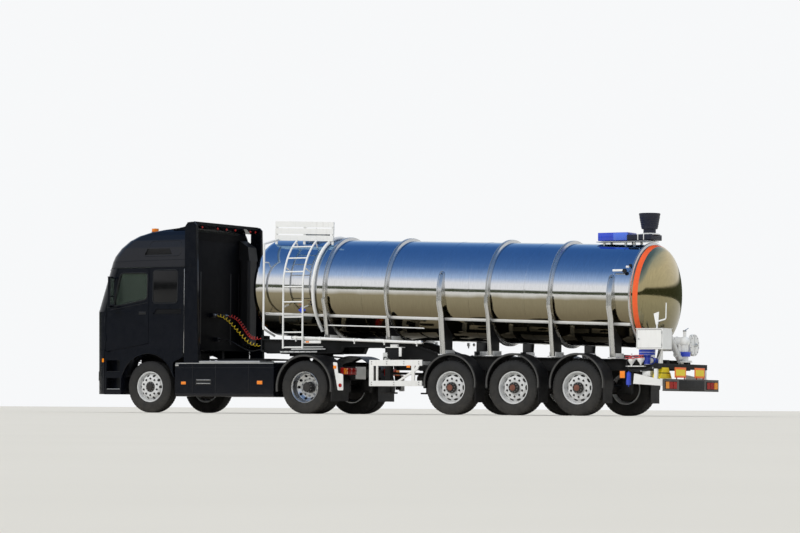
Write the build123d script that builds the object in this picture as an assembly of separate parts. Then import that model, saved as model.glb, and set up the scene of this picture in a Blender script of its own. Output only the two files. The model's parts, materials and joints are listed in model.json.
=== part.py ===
from build123d import *
import os
from math import asin, atan2, cos, degrees, hypot, radians, sin, sqrt, tan

# Lengths in millimetres and angles in degrees. The lorry faces -X, its left side is -Y, the ground is Z = 0.

# Places along the lorry
FRONT_OVERHANG = 1400
WHEELBASE = 3700
KINGPIN_AHEAD = 580
KINGPIN_TO_BOGIE = 5193
AXLE_SPACING = 1350
REAR_OVERHANG = 1807
LENGTH = FRONT_OVERHANG + WHEELBASE - KINGPIN_AHEAD + KINGPIN_TO_BOGIE + AXLE_SPACING + REAR_OVERHANG
FRONT_X = -LENGTH / 2
REAR_X = LENGTH / 2
FRONT_AXLE_X = FRONT_X + FRONT_OVERHANG
DRIVE_AXLE_X = FRONT_AXLE_X + WHEELBASE
KINGPIN_X = DRIVE_AXLE_X - KINGPIN_AHEAD
BOGIE_X = KINGPIN_X + KINGPIN_TO_BOGIE
TRAILER_AXLES = {"1": BOGIE_X - AXLE_SPACING, "2": BOGIE_X, "3": BOGIE_X + AXLE_SPACING}

# Overall width and the two sides
HALF_WIDTH = 1250
SIDES = {"left": -1, "right": 1}
SEAT_GAP = 0.3

# Wheels
TYRE_RADIUS = 522
RIM_RADIUS = 292
FRONT_TYRE_WIDTH = 300
FRONT_TYRE_Y = 1030
TWIN_TYRE_WIDTH = 290
TWIN_SPACING = 335
TWIN_Y = 918
TRAILER_TYRE_WIDTH = 370
TRAILER_TYRE_Y = 1045
RIM_LIP = 14
RIM_WALL = 11
BOLT_CIRCLE = 168
WHEEL_NUTS = 10
NUT_RADIUS = 16
HAND_HOLES = 10
HAND_HOLE_RADIUS = 26
HUB_RADIUS = 105
SPINDLE_RADIUS = 42

# Steering
STEER_PIVOT_Y = 860
KNUCKLE_HEIGHT = 190
KNUCKLE_RADIUS = 48

# Tractor frame
TRACTOR_RAIL_Y = 400
TRACTOR_RAIL_WIDTH = 75
TRACTOR_RAIL_HEIGHT = 270
TRACTOR_RAIL_TOP = 940
TRACTOR_FRAME_FRONT = FRONT_AXLE_X - 1000
TRACTOR_FRAME_REAR = DRIVE_AXLE_X + 760
CROSSBAR = 110
FIFTH_WHEEL_TOP = 1190
FIFTH_WHEEL_RADIUS = 440
FIFTH_WHEEL_PLATE = 40
KINGPIN_RADIUS = 25.4

# Cab, with its height levels
CAB_REAR_X = FRONT_AXLE_X + 871
CAB_FLOOR_Z = 1290
CAB_WAIST_Z = 2050
CAB_SPLIT_Z = 2945
CAB_WALL = 45
PANEL_GAP = 9
BUMPER_BOTTOM_Z = 370
BUMPER_WALL = 90
HEADLAMP_INNER_Y = 820
HEADLAMP_OUTER_Y = 1130
HEADLAMP_LOW_Z = 640
HEADLAMP_TOP_Z = 840
BEACON_X = FRONT_AXLE_X - 125
BEACON_Y = 830
BEACON_Z = 3715
FRONT_BULGE = 70
CORNER_RADIUS = 260
FLOOR_THICKNESS = 70
# Each level of the cab: height, half width, how far the nose lies behind the front of the lorry
CAB_LEVELS = [
    (BUMPER_BOTTOM_Z, 1235, 15),
    (CAB_WAIST_Z, 1245, 0),
    (CAB_SPLIT_Z, 1225, 285),
    (3060, 1217, 315),
    (3180, 1205, 370),
    (3340, 1182, 500),
    (3490, 1150, 690),
    (3590, 1108, 890),
    (3660, 1060, 1130),
    (3710, 1005, 1420),
    (3745, 930, 1750),
]
DOOR_FRONT_X = FRONT_AXLE_X - 1030
DOOR_REAR_X = FRONT_AXLE_X + 5
DOOR_BOTTOM_Z = 1330
DOOR_CORNER_DROP = 90
DOOR_WALL = 75
HINGE_LEVELS = (1500, 1980)
HINGE_RADIUS = 14
HINGE_HEIGHT = 70
HINGE_LUG = 40
WINDOW_FRONT_LOW_X = DOOR_FRONT_X + 175
WINDOW_FRONT_TOP_X = DOOR_FRONT_X + 335
WINDOW_REAR_X = DOOR_REAR_X - 32
WINDOW_LOW_Z = 2150
WINDOW_SILL_RISE = 140
WINDOW_TOP_Z = 2830
WINDOW_CORNER = 70
GLASS = 6
MIRROR_X = DOOR_FRONT_X + 225
MIRROR_HALF_DEPTH = 35
MIRROR_INNER_Y = 1337
MIRROR_OUTER_Y = 1487
MIRROR_LOW_Z = 2140
MIRROR_TOP_Z = 2745
MIRROR_ARM = 17
SCREEN_LOW_Z = 2120
SCREEN_TOP_Z = 2900
SCREEN_HALF_WIDTH = 1010
FRONT_PANEL_HALF_WIDTH = 930

# Panels behind the cab
FAIRING_LOW_Z = 1020
FAIRING_TOP_Z = 3840
FAIRING_CORNER = 60
FAIRING_SEAM_Z = 2924
FAIRING_SEAM = 12
FAIRING_REAR_LOW_X = FRONT_AXLE_X + 1222
FAIRING_REAR_TOP_X = FRONT_AXLE_X + 1150
FAIRING_WALL = 32
FAIRING_RETURN = 70
SPOILER_TOP_Z = 3848
SPOILER_HALF_WIDTH = 1040
SPOILER_REAR_HALF_WIDTH = 1205
# Shallow slot in each side of the high roof
LOUVRE_FRONT_X = CAB_REAR_X - 1000
LOUVRE_REAR_X = CAB_REAR_X - 332
LOUVRE_LOW_Z = 3195
LOUVRE_TOP_Z = 3312
LOUVRE_LEAN = 60
LOUVRE_INNER_Y = 1170

# Side tanks behind their skirts
SKIRT_FRONT_X = FRONT_AXLE_X + 665
SKIRT_REAR_X = DRIVE_AXLE_X - 700
SKIRT_LOW_Z = 330
SKIRT_TOP_Z = 985
SKIRT_OUTER_Y = 1240
SKIRT_INNER_Y = 640

# Wings and fenders
ARCH_RADIUS = 640
WING_OUTER_Y = 1246
WING_INNER_Y = 905
WING_LOW_Z = 365
STEP_DEPTH = 190
DRIVE_FENDER_RADIUS = 645
DRIVE_FENDER_WALL = 14
TRAILER_FENDER_RADIUS = 572
TRAILER_FENDER_LIFT = 80
TRAILER_FENDER_WALL = 14

# Tank: its axis falls to the rear
TANK_TILT = 1.98
TANK_AXIS_AT_RING_A = 2438
RING_A_X = KINGPIN_X + 2289
TANK_RADIUS = 975
TANK_FRONT_SEAM_X = KINGPIN_X - 640
TANK_REAR_SEAM_X = REAR_X - 808
TANK_HEAD_DEPTH = 440
TANK_REAR_HEAD_DEPTH = 400
RING_RADIUS = 1032
RING_WIDTH = 92
RIM_RING_RADIUS = 1020
RIM_RING_WIDTH = 62
# Stiffening rings that go right round: distance behind the kingpin
RING_STATIONS = [638, 890, 2289, 4518, 5853]
# Cradles under the tank: distance behind the kingpin, with a half-height band or not
CRADLES = [(890, False), (2289, False), (3493, True), (4518, False), (5853, False), (7114, True)]
CRADLE_WIDTH = 78
CRADLE_FOOT_Y = 880
CRADLE_INNER_Y = 500
CRADLE_WEB = 12
SOLE_LIFT = 2.2
SOLE_THICKNESS = 14
SOLE_PROUD = 30
SIDE_RAIL_ANGLE = 34
SIDE_RAIL_HALF = 26
SIDE_RAIL_PROUD = 24

# Trailer frame: its top falls with the tank
TRAILER_RAIL_Y = 470
TRAILER_RAIL_WIDTH = 120
TRAILER_FRAME_FRONT = KINGPIN_X - 870
TRAILER_FRAME_REAR = KINGPIN_X + 8160
GOOSENECK_STEP_X = KINGPIN_X + 960
GOOSENECK_STEP = 60
GOOSENECK_REAR = KINGPIN_X + 2060
GOOSENECK_SLOPE = 200
GOOSENECK_BOTTOM = FIFTH_WHEEL_TOP + 8
GOOSENECK_RAISED = 1320
END_MEMBER = 90
RAIL_BOTTOM = 860
# Top edge of the trailer rails: distance behind the kingpin, height
RAIL_TOPS = [(-870, 1490), (2480, 1420), (3300, 1150), (8160, 1050)]
WEB_THICKNESS = 12
RAIL_FLANGE = 22
LANDING_LEGS = 2260
LANDING_LEG_Y = 800

# Access ladder on the left of the tank
LADDER_FRONT_X = KINGPIN_X + 10
LADDER_WIDTH = 450
LADDER_STANDOFF = 130
LADDER_LOW_Z = 1285
LADDER_TUBE = 19
RUNG_TUBE = 14
RUNG_PITCH = 300
LADDER_END_ANGLE = 58

# Slatted guard on the left of the tank's top
GUARD_FRONT_X = KINGPIN_X - 590
GUARD_LENGTH = 1360
GUARD_Y = 480
GUARD_POST = 50
GUARD_HEIGHT = 385
GUARD_LIFT = -20
SLATS = 3
SLAT_GAP = 28
SLAT_THICKNESS = 22
LID_RADIUS = 250
LID_HEIGHT = 46
LID_COLLAR = 120
LID_HINGE_X = 270
LID_LUG = 36

# Standing pipe at the left of the tank's front
DRAIN_X = KINGPIN_X - 495
DRAIN_Y = 1030
DRAIN_LOW_Z = 1677
DRAIN_TOP_Z = 3370
DRAIN_RADIUS = 22
DRAIN_CLIP = 12
DRAIN_CLIP_LEVELS = (1989, 3004)

# Rear end
BEAM_LOW_Z = 470
BEAM_TOP_Z = 688
LAMP_DEPTH = 12
OUTLET_X = REAR_X - 160
OUTLET_Z = 1400
OUTLET_RADIUS = 84
COVER_RADIUS = 205
COVER_Y = 345
FLANGE_RADIUS = 142
FLANGE_BOLT_CIRCLE = 240
FLANGE_BOLTS = 8
FLANGE_HOLE_RADIUS = 11
FLANGE_THICKNESS = 22
FUNNEL_BORE_RADIUS = 176
VALVE_X = REAR_X - 514
VALVE_Y = 900
VALVE_FLANGE_Z = 1136
VALVE_FLANGE_RADIUS = 150
VALVE_RADIUS = 58
VALVE_LOW_Z = 960
VALVE_OUTLET_Z = 1036

# Hoses between the cab and the trailer: outer diameter of the coils and the cable
COIL_DIAMETER = 70
CABLE_DIAMETER = 26
BRACKET_X = CAB_REAR_X + 100
BOARD_X = TRAILER_FRAME_FRONT - 60


def block(x0, x1, y0, y1, z0, z1):
    """Box between two corners."""
    return Pos((x0 + x1) / 2, (y0 + y1) / 2, (z0 + z1) / 2) * Box(x1 - x0, y1 - y0, z1 - z0)


def side_plate(points, y0, y1, corner=0):
    """Outline of X and Z points, thick from y0 to y1, with its corners rounded where a radius is given."""
    plane = Plane(origin=(0, max(y0, y1), 0), x_dir=(1, 0, 0), z_dir=(0, -1, 0))
    face = make_face(Polyline(*points, close=True))
    if corner:
        face = fillet(face.vertices(), corner)
    return extrude(plane * face, amount=abs(y1 - y0))


def cross_plate(points, x0, x1):
    """Outline of Y and Z points, thick from x0 to x1."""
    plane = Plane(origin=(x0, 0, 0), x_dir=(0, 1, 0), z_dir=(1, 0, 0))
    return extrude(plane * make_face(Polyline(*points, close=True)), amount=x1 - x0)


def bar(start, end, radius):
    """Round bar between two points."""
    run = Vector(*end) - Vector(*start)
    return extrude(Plane(origin=start, z_dir=run) * Circle(radius), amount=run.length)


def across(x, z, radius, y0, y1):
    """Round bar that lies across the lorry from y0 to y1."""
    return bar((x, min(y0, y1), z), (x, max(y0, y1), z), radius)


def arch_band(x, z, outer, wall, y0, y1, low_z):
    """Half-round band about a wheel, from y0 to y1, down to the height low_z at both ends."""
    band = across(x, z, outer, y0, y1) - across(x, z, outer - wall, min(y0, y1) - 1, max(y0, y1) + 1)
    return band & block(x - 2 * outer, x + 2 * outer, min(y0, y1) - 2, max(y0, y1) + 2, low_z, z + 2 * outer)


def mirror_side(shape, side):
    """A shape drawn for the left side, as it is on the given side."""
    return shape if side < 0 else mirror(shape, Plane.XZ)


def both_sides(shape):
    """A left piece and its mirror image, as one node of separate solids."""
    return Compound(children=[shape, mirror(shape, Plane.XZ)])


def tank_axis_z(x):
    """Height of the tank's axis above the ground at a place along the lorry."""
    return TANK_AXIS_AT_RING_A - (x - RING_A_X) * tan(radians(TANK_TILT))


def along_tank(shape, x):
    """A shape drawn about the X axis at the origin, put on the tank's axis at x and tilted with it."""
    return Pos(x, 0, tank_axis_z(x)) * Rot(0, TANK_TILT, 0) * shape


def turned_about_x(points):
    """Profile of points (along X, radius) turned about the X axis."""
    plane = Plane(origin=(0, 0, 0), x_dir=(1, 0, 0), z_dir=(0, -1, 0))
    return revolve(plane * make_face(Polyline(*points, close=True)), Axis.X)


def tyre(width):
    """Tyre about the Z axis with its middle at the origin."""
    half = width / 2
    shoulder = TYRE_RADIUS - 16
    profile = [
        (RIM_RADIUS, -0.74 * half),
        (RIM_RADIUS + 20, -0.74 * half),
        (RIM_RADIUS + 95, -half),
        (shoulder - 70, -half),
        (shoulder, -0.86 * half),
        (TYRE_RADIUS, -0.76 * half),
    ]
    profile += [(r, -z) for r, z in reversed(profile)]
    return revolve(Plane.XZ * make_face(Polyline(*profile, close=True)), Axis.Z)


def ring_profile(points):
    """Flat face of (radius, height) points, for a turning about Z."""
    return Plane.XZ * make_face(Polyline(*points, close=True))


def rim(width, disc_z, hub_z, bore, inner_z=None, nuts=WHEEL_NUTS):
    """Wheel rim about the Z axis, outboard side up. disc_z and hub_z are the heights of disc and hub."""
    half = width / 2
    seat = RIM_RADIUS - SEAT_GAP
    bead = 0.74 * half + SEAT_GAP
    lip = seat + 18
    inner = inner_z if inner_z is not None else -0.5 * half
    well = [
        (seat, -bead),
        (lip, -bead),
        (lip, -bead - RIM_LIP),
        (seat - RIM_WALL, -bead - RIM_LIP),
        (seat - RIM_WALL, bead + RIM_LIP),
        (lip, bead + RIM_LIP),
        (lip, bead),
        (seat, bead),
    ]
    disc = [
        (HUB_RADIUS - 5, disc_z - 16),
        (BOLT_CIRCLE + 28, disc_z - 16),
        (seat - RIM_WALL + 1, 0.5 * disc_z - 16),
        (seat - RIM_WALL + 1, 0.5 * disc_z + 2),
        (BOLT_CIRCLE + 34, disc_z),
        (HUB_RADIUS - 5, disc_z),
    ]
    hub = [
        (bore, inner),
        (HUB_RADIUS + 45, inner),
        (HUB_RADIUS + 45, inner + 40),
        (HUB_RADIUS, inner + 60),
        (HUB_RADIUS, hub_z - 25),
        (HUB_RADIUS - 25, hub_z),
        (bore, hub_z),
    ]
    solid = revolve(ring_profile(well) + ring_profile(disc) + ring_profile(hub), Axis.Z)
    hand_hole = Pos(BOLT_CIRCLE + 62, 0, 0.5 * disc_z) * Cylinder(HAND_HOLE_RADIUS, abs(disc_z) + 120)
    nut = Pos(BOLT_CIRCLE, 0, disc_z + 14) * Cylinder(NUT_RADIUS, 34)
    for n in range(HAND_HOLES):
        solid -= Rot(0, 0, n * 360 / HAND_HOLES) * hand_hole
    for n in range(nuts):
        solid += Rot(0, 0, (n + 0.5) * 360 / nuts) * nut
    return solid


def on_axle(shape, x, y, side):
    """A wheel piece about Z, put on its axle with its outboard face away from the lorry."""
    return Pos(x, side * y, TYRE_RADIUS) * Rot(90 if side < 0 else -90, 0, 0) * shape


def front_wheel():
    """Front tyre and rim about Z, with a bore for the stub axle."""
    return tyre(FRONT_TYRE_WIDTH), rim(FRONT_TYRE_WIDTH, 105, 150, SPINDLE_RADIUS + SEAT_GAP)


def twin_wheel():
    """Two drive tyres and their joined rims about Z. The outer disc is deep inside its rim."""
    shift = TWIN_SPACING / 2
    tyres = Compound(children=[Pos(0, 0, s * shift) * tyre(TWIN_TYRE_WIDTH) for s in (-1, 1)])
    outer = Pos(0, 0, shift) * rim(TWIN_TYRE_WIDTH, -70, 60, SPINDLE_RADIUS + SEAT_GAP, inner_z=-160)
    inner = Pos(0, 0, -shift) * rim(TWIN_TYRE_WIDTH, 105, 110, SPINDLE_RADIUS + SEAT_GAP, nuts=0)
    link = Cylinder(BOLT_CIRCLE + 20, TWIN_SPACING - 200) - Cylinder(SPINDLE_RADIUS + SEAT_GAP, TWIN_SPACING)
    return tyres, outer + inner + link


def trailer_wheel():
    """Trailer tyre and rim about Z."""
    return tyre(TRAILER_TYRE_WIDTH), rim(TRAILER_TYRE_WIDTH, 95, 190, SPINDLE_RADIUS + SEAT_GAP)


def knuckle(side):
    """Steering knuckle: an upright about the steering pivot, a stub axle and a steering arm."""
    x = FRONT_AXLE_X
    upright = Pos(x, -STEER_PIVOT_Y, TYRE_RADIUS) * Cylinder(KNUCKLE_RADIUS, KNUCKLE_HEIGHT)
    stub = across(x, TYRE_RADIUS, SPINDLE_RADIUS, -STEER_PIVOT_Y, -FRONT_TYRE_Y - 100)
    collar = across(x, TYRE_RADIUS, 80, -STEER_PIVOT_Y - 30, -FRONT_TYRE_Y + 0.5 * FRONT_TYRE_WIDTH / 2 + 20)
    arm = side_plate([(x, TYRE_RADIUS - 60), (x + 230, TYRE_RADIUS - 60), (x + 230, TYRE_RADIUS - 20),
                      (x, TYRE_RADIUS + 10)], -STEER_PIVOT_Y - 25, -STEER_PIVOT_Y + 25)
    return mirror_side(upright + stub + collar + arm, side)


def tractor_axles():
    """Front axle beam with its leaf springs, and the driven axle with its air springs."""
    x = FRONT_AXLE_X
    fork_top = TYRE_RADIUS + KNUCKLE_HEIGHT / 2 + SEAT_GAP
    fork_low = TYRE_RADIUS - KNUCKLE_HEIGHT / 2 - SEAT_GAP
    ends = STEER_PIVOT_Y + KNUCKLE_RADIUS
    rail_low = TRACTOR_RAIL_TOP - TRACTOR_RAIL_HEIGHT - SEAT_GAP
    beam = block(x - 55, x + 55, -STEER_PIVOT_Y + 115, STEER_PIVOT_Y - 115, fork_low - 40, fork_low + 60)
    for side in SIDES.values():
        low = sorted((side * (STEER_PIVOT_Y - 130), side * ends))
        beam += block(x - 50, x + 50, *low, fork_low - 40, fork_low)
        beam += block(x - 50, x + 50, *low, fork_top, fork_top + 34)
        post = sorted((side * (STEER_PIVOT_Y - 130), side * (STEER_PIVOT_Y - 85)))
        beam += block(x - 50, x + 50, *post, fork_low - 40, fork_top + 34)
        y = sorted((side * (TRACTOR_RAIL_Y - 40), side * (TRACTOR_RAIL_Y + 45)))
        spring = [(x - 820, rail_low - 30), (x, fork_low + 60), (x + 820, rail_low - 30), (x + 820, rail_low),
                  (x + 60, fork_low + 150), (x - 60, fork_low + 150), (x - 820, rail_low)]
        beam += side_plate(spring, *y)
    d = DRIVE_AXLE_X
    inner = TWIN_Y - TWIN_SPACING / 2 - TWIN_TYRE_WIDTH / 2
    end = TWIN_Y + TWIN_SPACING / 2 + 30
    axle = across(d, TYRE_RADIUS, 75, -inner + 40, inner - 40)
    axle += across(d, TYRE_RADIUS, SPINDLE_RADIUS, -end, end)
    case = Pos(d, 0, TYRE_RADIUS) * Rot(0, 90, 0) * Cylinder(215, 230)
    axle += case
    axle += bar((d - 320, 0, TYRE_RADIUS + 20), (d, 0, TYRE_RADIUS), 95)
    for side in SIDES.values():
        y = side * (TRACTOR_RAIL_Y + 20)
        low = sorted((y - 60, y + 60))
        axle += block(d - 560, d + 560, *low, TYRE_RADIUS - 95, TYRE_RADIUS - 40)
        for x_bag in (d - 460, d + 460):
            axle += bar((x_bag, y, TYRE_RADIUS - 60), (x_bag, y, rail_low), 115)
    return Compound(children=[beam, axle])


def tractor_frame():
    """Two channel rails with cross tubes, and the deck behind the cab."""
    low = TRACTOR_RAIL_TOP - TRACTOR_RAIL_HEIGHT
    rails = []
    for side in SIDES.values():
        y = sorted((side * TRACTOR_RAIL_Y, side * (TRACTOR_RAIL_Y + TRACTOR_RAIL_WIDTH)))
        rail = block(TRACTOR_FRAME_FRONT, TRACTOR_FRAME_REAR, *y, low, TRACTOR_RAIL_TOP)
        hollow = sorted((side * (TRACTOR_RAIL_Y - 1), side * (TRACTOR_RAIL_Y + TRACTOR_RAIL_WIDTH - 12)))
        rail -= block(TRACTOR_FRAME_FRONT - 1, TRACTOR_FRAME_REAR + 1, *hollow, low + 14,
                      TRACTOR_RAIL_TOP - 14)
        rails.append(rail)
    frame = rails[0] + rails[1]
    reach = TRACTOR_RAIL_Y + TRACTOR_RAIL_WIDTH - 6
    for x in (TRACTOR_FRAME_FRONT + 30, FRONT_AXLE_X + 1420, KINGPIN_X - 700, DRIVE_AXLE_X + 330,
              TRACTOR_FRAME_REAR - CROSSBAR):
        frame += block(x, x + CROSSBAR, -reach, reach, low + 60, low + 60 + CROSSBAR)
    deck_top = TRACTOR_RAIL_TOP + 155
    frame += block(CAB_REAR_X + 60, KINGPIN_X - 640, -640, 640, deck_top - 26, deck_top)
    for x in (CAB_REAR_X + 130, KINGPIN_X - 800):
        for side in SIDES.values():
            y = sorted((side * TRACTOR_RAIL_Y, side * (TRACTOR_RAIL_Y + 60)))
            frame += block(x, x + 70, *y, TRACTOR_RAIL_TOP - 10, deck_top - 10)
    for x in (FRONT_AXLE_X - 930, CAB_REAR_X - 260):
        for side in SIDES.values():
            y = sorted((side * TRACTOR_RAIL_Y, side * (TRACTOR_RAIL_Y + TRACTOR_RAIL_WIDTH)))
            frame += block(x, x + 120, *y, TRACTOR_RAIL_TOP - 10, CAB_FLOOR_Z - SEAT_GAP)
    carrier = block(TRACTOR_FRAME_REAR - 90, TRACTOR_FRAME_REAR, -1180, 1180, 815, 885)
    frame += carrier
    holder = [(DRIVE_AXLE_X + 640, 985), (DRIVE_AXLE_X + 735, 975), (DRIVE_AXLE_X + 735, 790),
              (DRIVE_AXLE_X + 815, 760), (DRIVE_AXLE_X + 800, 490), (DRIVE_AXLE_X + 690, 490)]
    for side in SIDES.values():
        y = sorted((side * 1185, side * 1205))
        frame += side_plate([(x, z) for x, z in holder], *y)
        link = sorted((side * 1150, side * 1200))
        frame += block(TRACTOR_FRAME_REAR - 80, TRACTOR_FRAME_REAR - 10, *link, 820, 880)
    return frame


def engine_block():
    """Engine and gearbox as plain masses between the rails."""
    engine = block(FRONT_AXLE_X - 780, FRONT_AXLE_X + 470, -330, 330, 560, 1230)
    gearbox = block(FRONT_AXLE_X + 460, FRONT_AXLE_X + 1350, -230, 230, 560, 960)
    mass = engine + gearbox
    mount_z = TRACTOR_RAIL_TOP - TRACTOR_RAIL_HEIGHT
    reach = TRACTOR_RAIL_Y - SEAT_GAP
    for x in (FRONT_AXLE_X - 500, FRONT_AXLE_X + 300):
        mass += block(x, x + 90, -reach, reach, mount_z - 10, mount_z + 60)
    return mass


def fifth_wheel():
    """Coupling plate with its throat open to the rear, on two pedestals."""
    top = FIFTH_WHEEL_TOP
    disc = Pos(KINGPIN_X, 0, top - FIFTH_WHEEL_PLATE / 2) * Cylinder(FIFTH_WHEEL_RADIUS, FIFTH_WHEEL_PLATE)
    horns = side_plate([(KINGPIN_X, top), (KINGPIN_X + 620, top - 55), (KINGPIN_X + 620, top - 80),
                        (KINGPIN_X, top - FIFTH_WHEEL_PLATE)], -330, 330)
    plate = disc + horns
    plate -= Pos(KINGPIN_X, 0, top - 60) * Cylinder(KINGPIN_RADIUS + 12, 200)
    throat = [(KINGPIN_X, -KINGPIN_RADIUS - 12), (KINGPIN_X + 700, -170), (KINGPIN_X + 700, 170),
              (KINGPIN_X, KINGPIN_RADIUS + 12)]
    plate -= Pos(0, 0, top - 150) * extrude(make_face(Polyline(*throat, close=True)), amount=200)
    for side in SIDES.values():
        y = sorted((side * 300, side * 400))
        legs = [(KINGPIN_X - 210, TRACTOR_RAIL_TOP + 30), (KINGPIN_X + 210, TRACTOR_RAIL_TOP + 30),
                (KINGPIN_X + 120, top - FIFTH_WHEEL_PLATE + 5),
                (KINGPIN_X - 120, top - FIFTH_WHEEL_PLATE + 5)]
        plate += side_plate(legs, *y)
        foot = sorted((side * 290, side * (TRACTOR_RAIL_Y + TRACTOR_RAIL_WIDTH)))
        plate += block(KINGPIN_X - 330, KINGPIN_X + 330, *foot, TRACTOR_RAIL_TOP + SEAT_GAP,
                       TRACTOR_RAIL_TOP + 34)
    return plate


def cab_section(level, inset):
    """Plan outline of the cab at one level, drawn in by inset: flat sides, round corners and a bowed nose."""
    z, half, back = level
    nose = FRONT_X + back + inset
    rear = CAB_REAR_X - inset
    side = half - inset
    corner = nose + FRONT_BULGE
    radius = CORNER_RADIUS - 0.5 * inset
    low = corner + radius
    diagonal = radius * (1 - sqrt(0.5))
    outline = [
        Line((rear, -side), (low, -side)),
        ThreePointArc((low, -side), (corner + diagonal, -side + diagonal), (corner, -side + radius)),
        ThreePointArc((corner, -side + radius), (nose, 0), (corner, side - radius)),
        ThreePointArc((corner, side - radius), (corner + diagonal, side - diagonal), (low, side)),
        Line((low, side), (rear, side)),
        Line((rear, side), (rear, -side)),
    ]
    return Pos(0, 0, z) * make_face(outline)


def cab_form(inset, levels):
    """Solid through the cab's outlines between the given levels, drawn in all round by inset."""
    return loft([cab_section(level, inset) for level in levels], ruled=True)


def level_at(z):
    """Half width and nose setback at any height, between the two listed levels beside it."""
    for low, high in zip(CAB_LEVELS, CAB_LEVELS[1:]):
        if z <= high[0]:
            t = (z - low[0]) / (high[0] - low[0])
            return (z, low[1] + t * (high[1] - low[1]), low[2] + t * (high[2] - low[2]))


def cab_ring(z0, z1, wall):
    """The cab's wall as a closed ring between two heights."""
    inside = [level for level in CAB_LEVELS if z0 < level[0] < z1]
    levels = [level_at(z0)] + inside + [level_at(z1)]
    over = [level_at(z0 - 5)] + inside + [level_at(z1 + 5)]
    return cab_form(0, levels) - cab_form(wall, over)


def screen_cutter(gap):
    """Solid through the front of the cab as large as the windscreen and a gap all round."""
    half = SCREEN_HALF_WIDTH + gap
    return block(FRONT_X - 10, FRONT_X + 800, -half, half, SCREEN_LOW_Z - gap, SCREEN_TOP_Z + gap)


def door_outline(gap):
    """X and Z corners of a door, grown by gap."""
    lean = 195
    return [
        (DOOR_FRONT_X - gap, DOOR_BOTTOM_Z - DOOR_CORNER_DROP - gap),
        (DOOR_REAR_X + gap, DOOR_BOTTOM_Z + 70 - gap),
        (DOOR_REAR_X + gap, CAB_SPLIT_Z - 20 + gap),
        (DOOR_FRONT_X + lean + 95 - gap, CAB_SPLIT_Z - 20 + gap),
        (DOOR_FRONT_X - gap, CAB_WAIST_Z + 60),
    ]


def window_outline(gap):
    """X and Z corners of a door's window, grown by gap."""
    return [
        (WINDOW_FRONT_LOW_X - gap, WINDOW_LOW_Z - gap),
        (WINDOW_REAR_X + gap, WINDOW_LOW_Z + WINDOW_SILL_RISE - gap),
        (WINDOW_REAR_X + gap, WINDOW_TOP_Z + gap),
        (WINDOW_FRONT_TOP_X - gap, WINDOW_TOP_Z + gap),
    ]


def shell_slits():
    """Thin cuts that part the cab shell into its members, each as wide as a seat gap."""
    gap = SEAT_GAP
    low, high = CAB_FLOOR_Z - 1, CAB_SPLIT_Z + 1
    wide = HALF_WIDTH + 10
    half = FRONT_PANEL_HALF_WIDTH + PANEL_GAP
    rear = CAB_REAR_X - CAB_WALL
    front_edge = door_outline(PANEL_GAP)[3][0]
    rear_edge = DOOR_REAR_X + PANEL_GAP
    middle = FRONT_X + FRONT_BULGE + CORNER_RADIUS * (1 - sqrt(0.5))
    lean = [(middle + level[2], level[0]) for level in (level_at(low), level_at(CAB_WAIST_Z), level_at(high))]
    pillar = lean + [(x + gap, z) for x, z in reversed(lean)]
    slits = [
        block(rear - gap, rear, -wide, wide, low, high),
        block(front_edge, front_edge + gap, -wide, wide, CAB_SPLIT_Z - 45, high),
        block(rear_edge - gap, rear_edge, -wide, wide, low, high),
        side_plate(pillar, -wide, wide),
    ]
    for side in SIDES.values():
        y = sorted((side * half, side * (half + gap)))
        slits.append(block(FRONT_X - 10, FRONT_X + 600, *y, CAB_WAIST_Z - 60, high))
    return slits


def cab_shell():
    """Rear wall, sides, pillars, cowl, header and floor of the cab, open for doors, windscreen and front panel."""
    shell = cab_ring(CAB_FLOOR_Z, CAB_SPLIT_Z, CAB_WALL)
    shell -= screen_cutter(0)
    half = FRONT_PANEL_HALF_WIDTH + PANEL_GAP
    nose = block(FRONT_X - 10, FRONT_X + 135, -half, half, CAB_FLOOR_Z - 10, CAB_WAIST_Z - 30 + PANEL_GAP)
    floor_levels = [level_at(CAB_FLOOR_Z), level_at(CAB_FLOOR_Z + FLOOR_THICKNESS)]
    floor = cab_form(CAB_WALL + SEAT_GAP, floor_levels) - nose
    shell -= nose
    for side in SIDES.values():
        y = sorted((side * (HALF_WIDTH - DOOR_WALL - 12), side * (HALF_WIDTH + 20)))
        opening = side_plate(door_outline(PANEL_GAP), *y)
        floor -= opening
        shell -= opening
        recess = [(DOOR_REAR_X + 110, 1990), (CAB_REAR_X - 70, 1990), (CAB_REAR_X - 70, 2090),
                  (DOOR_REAR_X + 190, 2090)]
        y = sorted((side * (HALF_WIDTH - 32), side * (HALF_WIDTH + 20)))
        shell -= side_plate(recess, *y)
        panel = [(DOOR_REAR_X + 104, 2210), (CAB_REAR_X - 172, 2210), (CAB_REAR_X - 172, 2880),
                 (DOOR_REAR_X + 104, 2880)]
        shell -= side_plate(panel, side * (HALF_WIDTH - 18), side * (HALF_WIDTH + 20))
    for slit in shell_slits():
        shell -= slit
    for side in SIDES.values():
        for z in HINGE_LEVELS:
            x, y = DOOR_FRONT_X, side * (HALF_WIDTH - 4)
            shell -= Pos(x, y, z + HINGE_HEIGHT / 2) * Cylinder(HINGE_RADIUS + 2, HINGE_HEIGHT + 2 * SEAT_GAP)
            lug = Pos(x, y, z - SEAT_GAP - HINGE_LUG / 2) * Cylinder(HINGE_RADIUS, HINGE_LUG)
            lug += block(x - 40, x - 5, *sorted((y, y - side * 30)), z - SEAT_GAP - HINGE_LUG, z - SEAT_GAP)
            shell += lug
    shell += block(CAB_REAR_X - 10, BRACKET_X, -340, 180, 1955, 2025)
    shell += block(CAB_REAR_X - 10, BRACKET_X, -165, -75, 1465, 1535)
    return Compound(children=list(shell.solids()) + list(floor.solids()))


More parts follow.
